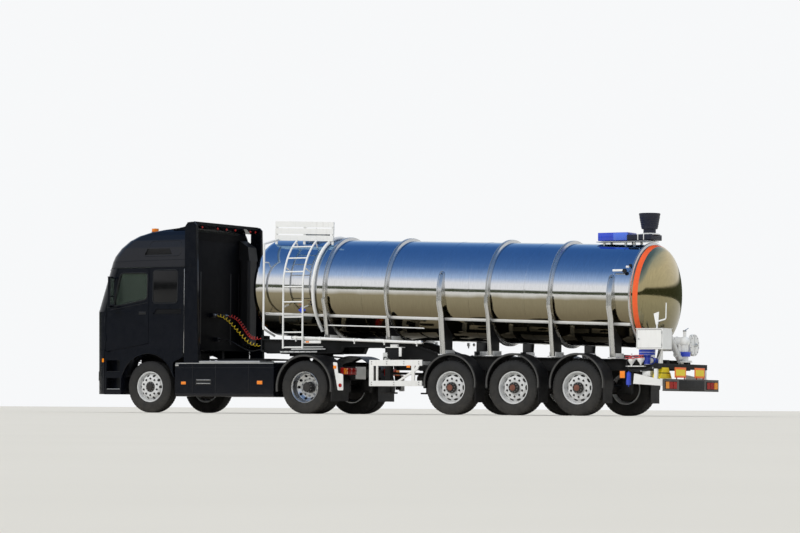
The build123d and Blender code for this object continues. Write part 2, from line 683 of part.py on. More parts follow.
def front_panel():
    """Panel below the windscreen with its row of slots."""
    panel = cab_ring(CAB_FLOOR_Z, CAB_WAIST_Z - 30, CAB_WALL)
    half = FRONT_PANEL_HALF_WIDTH
    panel &= block(FRONT_X - 10, FRONT_X + 135 - PANEL_GAP, -half, half, CAB_FLOOR_Z, CAB_WAIST_Z - 30)
    for row in range(4):
        z = CAB_FLOOR_Z + 110 + row * 130
        panel -= block(FRONT_X - 20, FRONT_X + 200, -half + 120, half - 120, z, z + 70)
    return panel


def windscreen():
    """Bowed pane in the front of the cab."""
    levels = [level_at(SCREEN_LOW_Z + GLASS), level_at(SCREEN_TOP_Z - GLASS)]
    over = [level_at(SCREEN_LOW_Z - 20), level_at(SCREEN_TOP_Z + 20)]
    pane = cab_form(12, levels) - cab_form(12 + GLASS, over)
    pane &= screen_cutter(-SEAT_GAP)
    return pane & block(FRONT_X - 10, FRONT_X + 700, -SCREEN_HALF_WIDTH, SCREEN_HALF_WIDTH, 0, 4000)


def roof_levels():
    """The cab's levels from the seam under the roof to its top."""
    return [level_at(CAB_SPLIT_Z + SEAT_GAP)] + [level for level in CAB_LEVELS if level[0] > CAB_SPLIT_Z + 10]


def cab_roof():
    """High roof with the spoiler along its rear edge."""
    levels = roof_levels()
    inner = list(levels)
    inner[0] = level_at(CAB_SPLIT_Z)
    inner[-1] = (CAB_LEVELS[-1][0] - CAB_WALL, CAB_LEVELS[-1][1] + 10, CAB_LEVELS[-1][2] - 60)
    roof = cab_form(0, levels) - cab_form(CAB_WALL, inner)
    rear = FAIRING_REAR_TOP_X - 75
    spoiler = side_plate([(CAB_REAR_X - 420, 3700), (CAB_REAR_X - 40, 3690), (rear, SPOILER_TOP_Z - 60),
                          (rear, SPOILER_TOP_Z), (CAB_REAR_X - 60, 3775)], -SPOILER_REAR_HALF_WIDTH,
                          SPOILER_REAR_HALF_WIDTH)
    for side in SIDES.values():
        y = sorted((side * SPOILER_HALF_WIDTH, side * HALF_WIDTH))
        spoiler -= block(CAB_REAR_X - 500, CAB_REAR_X + PANEL_GAP, *y, 3600, SPOILER_TOP_Z + 10)
    roof += spoiler
    for side in SIDES.values():
        y = sorted((side * LOUVRE_INNER_Y, side * (HALF_WIDTH + 20)))
        louvre = [(LOUVRE_FRONT_X, LOUVRE_LOW_Z), (LOUVRE_REAR_X, LOUVRE_LOW_Z),
                  (LOUVRE_REAR_X - LOUVRE_LEAN, LOUVRE_TOP_Z),
                  (LOUVRE_FRONT_X + LOUVRE_LEAN, LOUVRE_TOP_Z)]
        roof -= side_plate(louvre, *y)
    return roof


def side_fairings():
    """Tall panels that carry the cab's sides back to the tank, with a return along the rear edge."""
    outer = HALF_WIDTH - 4
    low = FAIRING_LOW_Z
    front = CAB_REAR_X + PANEL_GAP
    top = FAIRING_TOP_Z
    shoulder = top - FAIRING_CORNER
    outline = [(front, low), (FAIRING_REAR_LOW_X, low), (FAIRING_REAR_TOP_X, shoulder),
               (FAIRING_REAR_TOP_X - FAIRING_CORNER, top), (front + FAIRING_CORNER, top - 15),
               (front, shoulder - 30)]
    panel = side_plate(outline, -outer, -outer + FAIRING_WALL)
    edge = [(FAIRING_REAR_LOW_X - FAIRING_WALL, low), (FAIRING_REAR_LOW_X, low),
            (FAIRING_REAR_TOP_X, shoulder),
            (FAIRING_REAR_TOP_X - FAIRING_WALL, shoulder)]
    panel += side_plate(edge, -outer + 1, -outer + FAIRING_RETURN)
    panel -= block(front - 10, FAIRING_REAR_LOW_X + 10, -outer - 5, -outer + 10, FAIRING_SEAM_Z,
                   FAIRING_SEAM_Z + FAIRING_SEAM)
    for z in (1500, 2500, 3400):
        panel += block(front - PANEL_GAP + SEAT_GAP, front + 120, -outer + 10, -outer + 120, z, z + 60)
    return both_sides(panel)


def front_wings():
    """Step box ahead of the front wheel, its arch and the panel behind it."""
    x = FRONT_AXLE_X
    low_front = x - ARCH_RADIUS - 8
    front = FRONT_X + 345
    top = CAB_FLOOR_Z - SEAT_GAP
    step = block(front, low_front, -WING_OUTER_Y, -WING_INNER_Y, WING_LOW_Z, top)
    for z in (470, 830):
        step -= block(front + 45, low_front - 30, -WING_OUTER_Y - 5, -WING_OUTER_Y + STEP_DEPTH, z, z + 230)
    outline = [(low_front - 5, 700), (x + ARCH_RADIUS - 30, 700), (x + ARCH_RADIUS - 30, 1010),
               (CAB_REAR_X - 20, 1130),
               (CAB_REAR_X - 20, top), (low_front - 5, top)]
    skin = side_plate(outline, -WING_OUTER_Y, -WING_OUTER_Y + 34)
    liner = arch_band(x, TYRE_RADIUS + 20, ARCH_RADIUS + 30, 16, -WING_OUTER_Y, -WING_INNER_Y, 720)
    skin += liner & block(x - 900, x + 900, -WING_OUTER_Y, -WING_INNER_Y, 720, top)
    skin -= across(x, TYRE_RADIUS + 20, ARCH_RADIUS + 14, -WING_OUTER_Y - 5, -WING_INNER_Y + 5)
    wing = step + skin - side_plate(door_outline(PANEL_GAP), -HALF_WIDTH - 20, -HALF_WIDTH + DOOR_WALL + 15)
    swing = DOOR_WALL + 40
    wing -= block(DOOR_FRONT_X - PANEL_GAP, DOOR_FRONT_X + swing, -HALF_WIDTH - 20,
                  -HALF_WIDTH + DOOR_WALL + 15,
                  DOOR_BOTTOM_Z - DOOR_CORNER_DROP - PANEL_GAP, top + 10)
    return both_sides(wing)


def bumper():
    """Front bumper that wraps round both corners, with lamp pockets and an air slot."""
    top = CAB_FLOOR_Z - SEAT_GAP
    form = cab_ring(BUMPER_BOTTOM_Z, top, BUMPER_WALL)
    form &= block(FRONT_X - 10, FRONT_X + 330, -1300, 1300, 0, 2000)
    form -= block(FRONT_X - 10, FRONT_X + 300, -620, 620, 480, 620)
    form -= block(FRONT_X - 10, FRONT_X + 300, -760, 760, 900, 1180)
    for side in SIDES.values():
        y = sorted((side * HEADLAMP_INNER_Y, side * HEADLAMP_OUTER_Y))
        form -= block(FRONT_X - 10, FRONT_X + 300, *y, HEADLAMP_LOW_Z, HEADLAMP_TOP_Z)
        form -= corner_lamp(side, SEAT_GAP)
    for side in SIDES.values():
        y = sorted((side * (TRACTOR_RAIL_Y + 5), side * (TRACTOR_RAIL_Y + TRACTOR_RAIL_WIDTH - 5)))
        form += block(FRONT_X + 60, TRACTOR_FRAME_FRONT - SEAT_GAP, *y, 700, 890)
    return form


def corner_lamp(side, grow):
    """Amber lamp at the bumper's corner, grown by a gap for its pocket."""
    y = sorted((side * (1195 - grow), side * (HALF_WIDTH - 3 + grow)))
    return block(FRONT_X + 280 - grow, FRONT_X + 322 + grow, *y, 1020 - grow, 1095 + grow)


def tractor_lamps():
    """Headlamps, corner lamps, roof beacons and rear lamp clusters."""
    lamps = []
    for side in SIDES.values():
        y = sorted((side * (HEADLAMP_INNER_Y + SEAT_GAP), side * (HEADLAMP_OUTER_Y - SEAT_GAP)))
        lamp = cab_ring(HEADLAMP_LOW_Z, HEADLAMP_TOP_Z, BUMPER_WALL - 30)
        lamp &= block(FRONT_X - 10, FRONT_X + 290, *y, HEADLAMP_LOW_Z + SEAT_GAP, HEADLAMP_TOP_Z - SEAT_GAP)
        lamps.append(lamp)
        lamps.append(corner_lamp(side, 0))
        beacon = Pos(BEACON_X, side * BEACON_Y, BEACON_Z) * Cylinder(70, 60)
        beacon += Pos(BEACON_X, side * BEACON_Y, BEACON_Z - 60) * Cylinder(30, 140)
        lamps.append(beacon - Pos(0, 0, SEAT_GAP) * cab_form(0, roof_levels()))
        y = sorted((side * 590, side * 1110))
        lamps.append(block(TRACTOR_FRAME_REAR + SEAT_GAP, TRACTOR_FRAME_REAR + 60, *y, 770, 905))
    return Compound(children=lamps)


def door(side):
    """Door panel with its window cut, and the mirror that it carries."""
    panel = cab_ring(DOOR_BOTTOM_Z - 200, CAB_SPLIT_Z - 5, DOOR_WALL)
    panel &= side_plate(door_outline(0), -HALF_WIDTH - 20, -HALF_WIDTH + DOOR_WALL + 40)
    panel -= side_plate(window_outline(0), -HALF_WIDTH - 20, -HALF_WIDTH + DOOR_WALL + 80, WINDOW_CORNER)
    housing = block(MIRROR_X - MIRROR_HALF_DEPTH, MIRROR_X + MIRROR_HALF_DEPTH, -MIRROR_OUTER_Y,
                    -MIRROR_INNER_Y,
                    MIRROR_LOW_Z, MIRROR_TOP_Z)
    housing = fillet(housing.edges().filter_by(Axis.Z), 0.7 * MIRROR_HALF_DEPTH)
    inside = -MIRROR_INNER_Y - 40
    arms = bar((MIRROR_X, inside, MIRROR_TOP_Z - 45), (DOOR_FRONT_X + 270, -1200, MIRROR_TOP_Z - 5),
               MIRROR_ARM)
    arms += bar((MIRROR_X, inside, MIRROR_LOW_Z + 45), (DOOR_FRONT_X + 110, -1215, MIRROR_LOW_Z + 45),
                MIRROR_ARM)
    panel += housing + arms
    for z in HINGE_LEVELS:
        room = HINGE_LUG + 3 * SEAT_GAP
        panel -= Pos(DOOR_FRONT_X, -HALF_WIDTH + 4, z - room / 2) * Cylinder(HINGE_RADIUS + 2, room)
        panel += Pos(DOOR_FRONT_X, -HALF_WIDTH + 4, z + HINGE_HEIGHT / 2) * Cylinder(HINGE_RADIUS,
                                                                                     HINGE_HEIGHT)
    return mirror_side(panel, side)


def door_glass(side):
    """Pane that fills the door's window."""
    pane = cab_form(26, [level_at(WINDOW_LOW_Z), level_at(WINDOW_TOP_Z)])
    pane -= cab_form(26 + GLASS, [level_at(WINDOW_LOW_Z - 20), level_at(WINDOW_TOP_Z + 20)])
    pane &= side_plate(window_outline(-SEAT_GAP), -HALF_WIDTH, -HALF_WIDTH + 120, WINDOW_CORNER - SEAT_GAP)
    return mirror_side(pane, side)


def seats():
    """Driver's and passenger's seats, each a base, cushion, back and headrest."""
    x = FRONT_AXLE_X - 330
    floor = CAB_FLOOR_Z + FLOOR_THICKNESS + SEAT_GAP
    seat = block(x - 190, x + 190, -790, -430, floor, floor + 330)
    seat += block(x - 270, x + 250, -860, -360, floor + 320, floor + 470)
    seat += side_plate([(x + 130, floor + 440), (x + 290, floor + 440), (x + 400, floor + 1080),
                        (x + 290, floor + 1090)],
                       -860, -360)
    seat += block(x + 300, x + 400, -730, -490, floor + 1070, floor + 1270)
    return both_sides(seat)


def dashboard():
    """Instrument panel with the steering column and wheel."""
    floor = CAB_FLOOR_Z + FLOOR_THICKNESS + SEAT_GAP
    front = FRONT_X + 185
    body = side_plate([(front, floor), (front + 260, floor), (front + 330, 2010), (front + 250, 2080),
                       (front, 2070)],
                      -1060, 1060)
    column = bar((front + 250, -610, 1850), (front + 500, -610, 2130), 40)
    centre = Pos(front + 500, -610, 2130) * Rot(0, 42, 0)
    rim_torus = centre * Torus(225, 16)
    spokes = centre * (Box(440, 40, 14) + Box(40, 440, 14))
    return body + column + rim_torus + spokes


def intake_stack():
    """Tall air intake behind the cab on the right."""
    x = CAB_REAR_X + 20
    stack = block(x, x + 250, 760, 1080, 1400, 3150)
    stack = fillet(stack.edges().filter_by(Axis.Z), 60)
    stack += side_plate([(x, 3140), (x + 250, 3140), (x + 210, 3420), (x, 3560)], 760, 1080)
    stack += block(CAB_REAR_X + SEAT_GAP, x + 40, 840, 1000, 1700, 1800)
    stack += block(CAB_REAR_X + SEAT_GAP, x + 40, 840, 1000, 2700, 2800)
    return stack


def side_skirts():
    """Side tanks behind their smooth skirts, on brackets at the rails."""
    tank = block(SKIRT_FRONT_X, SKIRT_REAR_X, -SKIRT_OUTER_Y, -SKIRT_INNER_Y, SKIRT_LOW_Z, SKIRT_TOP_Z)
    edges = tank.edges().filter_by(Axis.X).sort_by(Axis.Z)
    tank = fillet(edges[:2], 60)
    for x in (SKIRT_FRONT_X + 300, SKIRT_REAR_X - 360):
        tank += block(x, x + 60, -SKIRT_INNER_Y - 10, -TRACTOR_RAIL_Y - TRACTOR_RAIL_WIDTH - SEAT_GAP, 720,
                      900)
    return both_sides(tank)


def drive_fenders():
    """Half-round fenders over the twin wheels with their mud flaps and stays."""
    x = DRIVE_AXLE_X
    inner = 560
    band = arch_band(x, TYRE_RADIUS, DRIVE_FENDER_RADIUS, DRIVE_FENDER_WALL, -HALF_WIDTH, -inner, 450)
    lip = arch_band(x, TYRE_RADIUS, DRIVE_FENDER_RADIUS, 42, -HALF_WIDTH, -HALF_WIDTH + 14, 450)
    flap = block(x + DRIVE_FENDER_RADIUS - 30, x + DRIVE_FENDER_RADIUS - 10, -HALF_WIDTH + 20, -inner - 20,
                 250, 520)
    fender = band + lip + flap
    rail = -TRACTOR_RAIL_Y - TRACTOR_RAIL_WIDTH - SEAT_GAP
    for stay_x in (x - 560, x + 560):
        z = TYRE_RADIUS + sqrt((DRIVE_FENDER_RADIUS - 8) ** 2 - 560 ** 2)
        fender += bar((stay_x, rail, z), (stay_x, -inner - 300, z), 20)
    return both_sides(fender)


def trailer_frame():
    """Two rails with a raised front, cross members, coupler plate with its kingpin, and landing legs."""
    front = TRAILER_FRAME_FRONT
    rear = TRAILER_FRAME_REAR - END_MEMBER - SEAT_GAP
    step = GOOSENECK_STEP_X
    raised = GOOSENECK_STEP_X + GOOSENECK_STEP
    mid = GOOSENECK_REAR
    flange = RAIL_FLANGE
    outline = [
        (front, GOOSENECK_BOTTOM + 60), (front + 160, GOOSENECK_BOTTOM), (step, GOOSENECK_BOTTOM),
        (raised, GOOSENECK_RAISED), (mid, GOOSENECK_RAISED), (mid + GOOSENECK_SLOPE, RAIL_BOTTOM),
        (rear, RAIL_BOTTOM),
        (rear, RAIL_TOPS[3][1]),
    ]
    outline += [(KINGPIN_X + x, z) for x, z in reversed(RAIL_TOPS[:3])]
    inner = [
        (front + 30, GOOSENECK_BOTTOM + 80), (front + 170, GOOSENECK_BOTTOM + flange),
        (step - 15, GOOSENECK_BOTTOM + flange),
        (raised - 15, GOOSENECK_RAISED + flange), (mid + 15, GOOSENECK_RAISED + flange),
        (mid + GOOSENECK_SLOPE + 15, RAIL_BOTTOM + flange), (rear - 30, RAIL_BOTTOM + flange),
        (rear - 30, RAIL_TOPS[3][1] - flange), (KINGPIN_X + RAIL_TOPS[2][0], RAIL_TOPS[2][1] - flange),
        (KINGPIN_X + RAIL_TOPS[1][0], RAIL_TOPS[1][1] - flange), (front + 30, RAIL_TOPS[0][1] - flange),
    ]
    pieces = []
    for side in SIDES.values():
        y0, y1 = sorted((side * (TRAILER_RAIL_Y - TRAILER_RAIL_WIDTH / 2),
                         side * (TRAILER_RAIL_Y + TRAILER_RAIL_WIDTH / 2)))
        web = (y0 + y1) / 2
        rail = side_plate(outline, y0, y1)
        rail -= side_plate(inner, y0 - 1, web - WEB_THICKNESS / 2)
        rail -= side_plate(inner, web + WEB_THICKNESS / 2, y1 + 1)
        for x in (raised, mid, mid + GOOSENECK_SLOPE, KINGPIN_X + RAIL_TOPS[2][0]):
            rail -= block(x, x + SEAT_GAP, y0 - 1, y1 + 1, 0, TANK_AXIS_AT_RING_A)
        pieces += list(rail.solids())
    pieces.append(block(TRAILER_FRAME_REAR - END_MEMBER, TRAILER_FRAME_REAR, -1100, 1100, RAIL_BOTTOM + 20,
                        RAIL_BOTTOM + 120))
    reach = TRAILER_RAIL_Y - WEB_THICKNESS / 2 - SEAT_GAP
    low = GOOSENECK_BOTTOM + flange + SEAT_GAP
    for x in (front + 40, KINGPIN_X + 500):
        pieces.append(block(x, x + 80, -reach, reach, low, low + 100))
    low = GOOSENECK_RAISED + flange + SEAT_GAP
    pieces.append(block(mid - 180, mid - 100, -reach, reach, low, low + 60))
    low = RAIL_BOTTOM + flange + SEAT_GAP
    for x in (mid + 700, BOGIE_X - 2200, BOGIE_X - 675, BOGIE_X + 675, BOGIE_X + 1940):
        pieces.append(block(x, x + 90, -reach, reach, low, low + 100))
    plate_bottom = FIFTH_WHEEL_TOP + SEAT_GAP
    plate = block(KINGPIN_X - 430, KINGPIN_X + 470, -TRAILER_RAIL_Y, TRAILER_RAIL_Y, plate_bottom,
                  GOOSENECK_BOTTOM - SEAT_GAP)
    pieces.append(plate + Pos(KINGPIN_X, 0, plate_bottom - 41) * Cylinder(KINGPIN_RADIUS, 84))
    x = KINGPIN_X + LANDING_LEGS
    for side in SIDES.values():
        y = side * LANDING_LEG_Y
        legs = block(x - 60, x + 60, *sorted((y - 60, y + 60)), 640, 1290)
        legs += block(x - 45, x + 45, *sorted((y - 45, y + 45)), 430, 650)
        legs += block(x - 130, x + 130, *sorted((y - 110, y + 110)), 400, 432)
        legs += block(x - 110, x + 110, *sorted((y - 90, y + 90)), 1285, 1305)
        tie = sorted((side * (TRAILER_RAIL_Y + WEB_THICKNESS / 2 + SEAT_GAP), y - side * 50))
        legs += block(x - 50, x + 50, *tie, 960, 1060)
        pieces.append(legs)
    inside = LANDING_LEG_Y - 60 - SEAT_GAP
    pieces.append(bar((x, -inside, 800), (x, inside, 800), 24))
    pieces.append(block(BOARD_X, front - SEAT_GAP, -415, -190, 1240, 1560))
    return Compound(children=pieces)


def tank_shell():
    """Round tank with domed ends, stiffening rings, rim ring and side rails, tilted nose up."""
    slope = cos(radians(TANK_TILT))
    front = (TANK_FRONT_SEAM_X - RING_A_X) / slope
    rear = (TANK_REAR_SEAM_X - RING_A_X) / slope
    shell = tank_form(0)
    for station in RING_STATIONS:
        x = (KINGPIN_X + station - RING_A_X) / slope
        shell += hoop(x, RING_RADIUS, RING_WIDTH)
    shell += hoop(rear - RIM_RING_WIDTH / 2, RIM_RING_RADIUS, RIM_RING_WIDTH)
    shell += side_rail(0)
    shell = along_tank(shell, RING_A_X)
    collar_x = GUARD_FRONT_X + GUARD_LENGTH / 2
    collar = Cylinder(LID_RADIUS - 12, 2 * LID_COLLAR)
    pin_z = LID_COLLAR + SEAT_GAP + LID_HEIGHT / 2
    for side in SIDES.values():
        y = sorted((side * (LID_LUG + 5), side * (LID_LUG + 21)))
        collar += block(LID_RADIUS - 60, LID_HINGE_X + 18, *y, LID_COLLAR - 60, LID_COLLAR - 8)
        collar += block(LID_RADIUS + 6, LID_HINGE_X + 18, *y, LID_COLLAR - 30, pin_z)
        collar += across(LID_HINGE_X, pin_z, LID_HEIGHT / 2 - 5, *y)
    shell += Pos(collar_x, 0, tank_axis_z(collar_x) + TANK_RADIUS) * Rot(0, TANK_TILT, 0) * collar
    return shell


def tank_form(grow):
    """Barrel and domed ends about the X axis, with ring A at the origin, grown by a gap."""
    slope = cos(radians(TANK_TILT))
    front = (TANK_FRONT_SEAM_X - RING_A_X) / slope
    rear = (TANK_REAR_SEAM_X - RING_A_X) / slope
    radius = TANK_RADIUS + grow
    form = turned_about_x([(front, 0), (rear, 0), (rear, radius), (front, radius)])
    form += head(front - grow, TANK_HEAD_DEPTH, -1, radius)
    return form + head(rear + grow, TANK_REAR_HEAD_DEPTH, 1, radius)


def head(seam, depth, sign, radius):
    """Dished end of the tank: a large crown arc with a small knuckle arc at the seam, turned about X."""
    knuckle_radius = 0.24 * radius
    reach = radius - knuckle_radius
    crown_radius = (reach ** 2 + depth ** 2 - knuckle_radius ** 2) / (2 * (depth - knuckle_radius))
    centre = depth - crown_radius
    angle = atan2(reach, -centre)
    join = (centre + crown_radius * cos(angle), crown_radius * sin(angle))
    bend = angle + (radians(90) - angle) / 2
    knuckle_mid = (knuckle_radius * cos(bend), reach + knuckle_radius * sin(bend))
    crown_mid = (centre + crown_radius * cos(angle / 2), crown_radius * sin(angle / 2))

    def place(point):
        return (seam + sign * point[0], point[1])

    outline = [
        Line(place((-1, 0)), place((depth, 0))),
        ThreePointArc(place((depth, 0)), place(crown_mid), place(join)),
        ThreePointArc(place(join), place(knuckle_mid), place((0, radius))),
        Line(place((0, radius)), place((-1, radius))),
        Line(place((-1, radius)), place((-1, 0))),
    ]
    plane = Plane(origin=(0, 0, 0), x_dir=(1, 0, 0), z_dir=(0, -1, 0))
    return revolve(plane * make_face(outline), Axis.X)


def hoop(x, radius, width):
    """Stiffening ring round the tank with sloped flanks."""
    half = width / 2
    inside = TANK_RADIUS - 5
    return turned_about_x([(x - half, inside), (x - half + 18, radius), (x + half - 18, radius),
                           (x + half, inside)])


def rail_top(station):
    """Height of the trailer rails' top edge at a distance behind the kingpin."""
    for low, high in zip(RAIL_TOPS, RAIL_TOPS[1:]):
        if station <= high[0]:
            return low[1] + (high[1] - low[1]) * (station - low[0]) / (high[0] - low[0])


def side_rail(grow):
    """Flat rails along both flanks of the tank, drawn about the X axis, grown by a gap."""
    slope = cos(radians(TANK_TILT))
    x0 = (TANK_FRONT_SEAM_X + 80 - RING_A_X) / slope
    x1 = (TANK_REAR_SEAM_X - RIM_RING_WIDTH - RING_A_X) / slope
    half = SIDE_RAIL_HALF + grow
    rail = block(x0, x1, -TANK_RADIUS - SIDE_RAIL_PROUD - grow, -TANK_RADIUS + 8, -half, half)
    rail = Rot(SIDE_RAIL_ANGLE, 0, 0) * rail
    return rail + mirror(rail, Plane.XZ)


def tank_cradles():
    """Side legs under the tank at each station, with half-height bands where there is no ring."""
    pieces = []
    for station, band in CRADLES:
        x = KINGPIN_X + station
        centre = tank_axis_z(x)
        foot = rail_top(station)
        outer = RING_RADIUS + 22
        top = centre + (210 if band else -60)
        drop = centre - 640
        leg_outline = [(-outer, top), (-outer, centre - 250), (-0.93 * outer, drop + 190),
                       (-CRADLE_FOOT_Y, foot + 14),
                       (-CRADLE_INNER_Y, foot + 14), (-CRADLE_INNER_Y, drop + 60), (-outer + 160, top)]
        web = cross_plate(leg_outline, x - CRADLE_WEB / 2, x + CRADLE_WEB / 2)
        band_outline = [(-outer, top), (-outer, centre - 250), (-0.93 * outer, drop + 190),
                        (-CRADLE_FOOT_Y, foot + 14),
                        (-CRADLE_FOOT_Y + 14, foot + 14), (-0.93 * outer + 14, drop + 190),
                        (-outer + 14, centre - 250),
                        (-outer + 14, top)]
        flange = cross_plate(band_outline, x - CRADLE_WIDTH / 2, x + CRADLE_WIDTH / 2)
        sole_z = foot + SOLE_LIFT
        sole = block(x - 90, x + 90, -CRADLE_FOOT_Y - SOLE_PROUD, -TRAILER_RAIL_Y + TRAILER_RAIL_WIDTH / 2,
                     sole_z,
                     sole_z + SOLE_THICKNESS)
        leg = web + flange + sole
        cutter_radius = (RING_RADIUS if not band else TANK_RADIUS) + SEAT_GAP
        cutter = Rot(0, 90, 0) * Cylinder(cutter_radius, 400)
        leg -= along_tank(cutter, x)
        leg -= along_tank(side_rail(SEAT_GAP), RING_A_X)
        pieces += list(both_sides(leg).solids())
    return Compound(children=pieces)


def trailer_axles():
    """Three straight axles on trailing arms with air springs under the rails."""
    pieces = []
    tip = TRAILER_TYRE_Y + 110
    for x in TRAILER_AXLES.values():
        axle = across(x, TYRE_RADIUS, 70, -TRAILER_TYRE_Y + 120, TRAILER_TYRE_Y - 120)
        axle += across(x, TYRE_RADIUS, SPINDLE_RADIUS, -tip, tip)
        for side in SIDES.values():
            y = sorted((side * (TRAILER_RAIL_Y - 45), side * (TRAILER_RAIL_Y + 45)))
            arm = [(x - 520, 700), (x - 440, 700), (x + 60, TYRE_RADIUS - 10), (x + 330, TYRE_RADIUS - 60),
                   (x + 330, TYRE_RADIUS - 110), (x - 80, TYRE_RADIUS - 110), (x - 520, 620)]
            axle += side_plate(arm, *y)
            hanger = [(x - 560, 590), (x - 420, 590), (x - 380, RAIL_BOTTOM - SEAT_GAP),
                      (x - 600, RAIL_BOTTOM - SEAT_GAP)]
            axle += side_plate(hanger, *sorted((side * (TRAILER_RAIL_Y - 55), side * (TRAILER_RAIL_Y + 55))))
            axle += bar((x + 250, side * TRAILER_RAIL_Y, TYRE_RADIUS - 90),
                        (x + 250, side * TRAILER_RAIL_Y, RAIL_BOTTOM - SEAT_GAP), 105)
        pieces.append(axle)
    return Compound(children=pieces)


def trailer_fenders():
    """Half-round fender over each trailer wheel with its flap and stay."""
    pieces = []
    inner = 830
    for x in TRAILER_AXLES.values():
        z = TYRE_RADIUS + TRAILER_FENDER_LIFT
        outer = TRAILER_FENDER_RADIUS
        band = arch_band(x, z, outer, TRAILER_FENDER_WALL, -HALF_WIDTH, -inner, 505)
        lip = arch_band(x, z, outer, 34, -HALF_WIDTH, -HALF_WIDTH + 12, 505)
        flap = block(x + outer - 26, x + outer - 16, -HALF_WIDTH + 15, -inner - 15, 240, 560)
        stay_z = 1090
        stay_x = x - sqrt((outer - 7) ** 2 - (stay_z - z) ** 2)
        rail = -TRAILER_RAIL_Y - WEB_THICKNESS / 2 - SEAT_GAP
        stay = block(stay_x - 20, stay_x + 20, -inner - 40, rail, stay_z - 70, stay_z - 30)
        post = block(stay_x - 20, stay_x + 20, -inner - 40, -inner - 5, stay_z - 70, stay_z + 5)
        pieces += list(both_sides(band + lip + flap + stay + post).solids())
    return Compound(children=pieces)


def side_guards():
    """White guard frame ahead of the trailer wheels: two rails, three posts and a brace."""
    front = KINGPIN_X + 2065
    rear = front + 1170
    y0, y1 = -1235, -1205
    frame = block(front, rear, y0, y1, 938, 1052) + block(front, rear, y0, y1, 545, 650)
    frame += block(front, front + 90, y0, y1, 545, 1052) + block(front + 150, front + 190, y0, y1, 640, 945)
    frame += block(rear - 235, rear - 165, y0, y1, 640, 945)
    frame += side_plate([(rear - 560, 640), (rear - 490, 640), (rear - 100, 860), (rear - 60, 945),
                         (rear - 130, 945),
                         (rear - 160, 880)], y0, y1)
    for x in (front + 275, rear - 235):
        frame += block(x, x + 60, y1 - 5, -TRAILER_RAIL_Y - WEB_THICKNESS / 2 - SEAT_GAP, 960, 1030)
    return both_sides(frame)


def access_frame():
    """Ladder up the left of the tank and the slatted guard on top."""
    outer = TANK_RADIUS + LADDER_STANDOFF
    pieces = []
    for x in (LADDER_FRONT_X, LADDER_FRONT_X + LADDER_WIDTH):
        centre = tank_axis_z(x)
        end = radians(LADDER_END_ANGLE)
        mid = end / 2
        path = Wire([
            Line((x, -outer, LADDER_LOW_Z), (x, -outer, centre)),
            ThreePointArc((x, -outer, centre), (x, -outer * cos(mid), centre + outer * sin(mid)),
                          (x, -outer * cos(end), centre + outer * sin(end))),
        ])
        section = Plane(origin=(x, -outer, LADDER_LOW_Z), z_dir=(0, 0, 1)) * Circle(LADDER_TUBE)
        pieces.append(sweep(section, path))
    x0, x1 = LADDER_FRONT_X, LADDER_FRONT_X + LADDER_WIDTH
    centre = tank_axis_z((x0 + x1) / 2)
    z = LADDER_LOW_Z + 20
    while z < centre:
        pieces.append(bar((x0, -outer, z), (x1, -outer, z), RUNG_TUBE))
        z += RUNG_PITCH
    angle = degrees((z - centre) / outer)
    while angle < LADDER_END_ANGLE - 2:
        y, height = -outer * cos(radians(angle)), centre + outer * sin(radians(angle))
        pieces.append(bar((x0, y, height), (x1, y, height), RUNG_TUBE))
        angle += degrees(RUNG_PITCH / outer)
    for x in (x0, x1):
        zc = tank_axis_z(x)
        for turn in (-22, 20, LADDER_END_ANGLE - 3):
            c, s = cos(radians(turn)), sin(radians(turn))
            start = (x, -(TANK_RADIUS - 8) * c, zc + (TANK_RADIUS - 8) * s)
            end_y = -outer if turn < 0 else -outer * c
            pieces.append(bar(start, (x, end_y, zc + outer * s), 15))
    ladder = pieces[0]
    for piece in pieces[1:]:
        ladder += piece
    ladder -= along_tank(Rot(0, 90, 0) * Cylinder(TANK_RADIUS + SEAT_GAP, 3 * LADDER_WIDTH), x1)
    return Compound(children=[ladder, top_guard()])


def top_guard():
    """Slatted guard along the left of the lid, on three posts."""
    slat = (GUARD_HEIGHT - (SLATS - 1) * SLAT_GAP) / SLATS
    length = GUARD_LENGTH
    outer = -GUARD_Y
    inner = -GUARD_Y + SLAT_THICKNESS
    guard = block(0, GUARD_POST, inner - 2, inner + 18, -GUARD_LIFT - 140, GUARD_HEIGHT - 10)
    for x in (length / 2 - GUARD_POST / 2, length - GUARD_POST):
        guard += block(x, x + GUARD_POST, inner - 2, inner + 18, -GUARD_LIFT - 140, GUARD_HEIGHT - 10)
    for row in range(SLATS):
        z = row * (slat + SLAT_GAP)
        guard += block(0, length, outer, inner, z, z + slat)
    base_x = GUARD_FRONT_X + length / 2
    seat = tank_axis_z(base_x) + TANK_RADIUS + GUARD_LIFT - 25
    guard = Pos(GUARD_FRONT_X, 0, seat + length / 2 * sin(radians(TANK_TILT))) * Rot(0, TANK_TILT, 0) * guard
    cutter = Rot(0, 90, 0) * Cylinder(TANK_RADIUS + SEAT_GAP, 3 * length)
    return guard - along_tank(cutter, base_x)


def lid():
    """Round manhole lid with its hinge lugs at the rear, over the collar."""
    x = GUARD_FRONT_X + GUARD_LENGTH / 2
    base = LID_COLLAR + SEAT_GAP
    plate = Pos(0, 0, base + LID_HEIGHT / 2) * Cylinder(LID_RADIUS, LID_HEIGHT)
    crown = Pos(0, 0, base + LID_HEIGHT + 12) * Cylinder(LID_RADIUS - 70, 30)
    lug = block(LID_RADIUS - 20, LID_HINGE_X, -LID_LUG, LID_LUG, base, base + LID_HEIGHT)
    lug += across(LID_HINGE_X, base + LID_HEIGHT / 2, LID_HEIGHT / 2, -LID_LUG, LID_LUG)
    return Pos(x, 0, tank_axis_z(x) + TANK_RADIUS) * Rot(0, TANK_TILT, 0) * (plate + crown + lug)


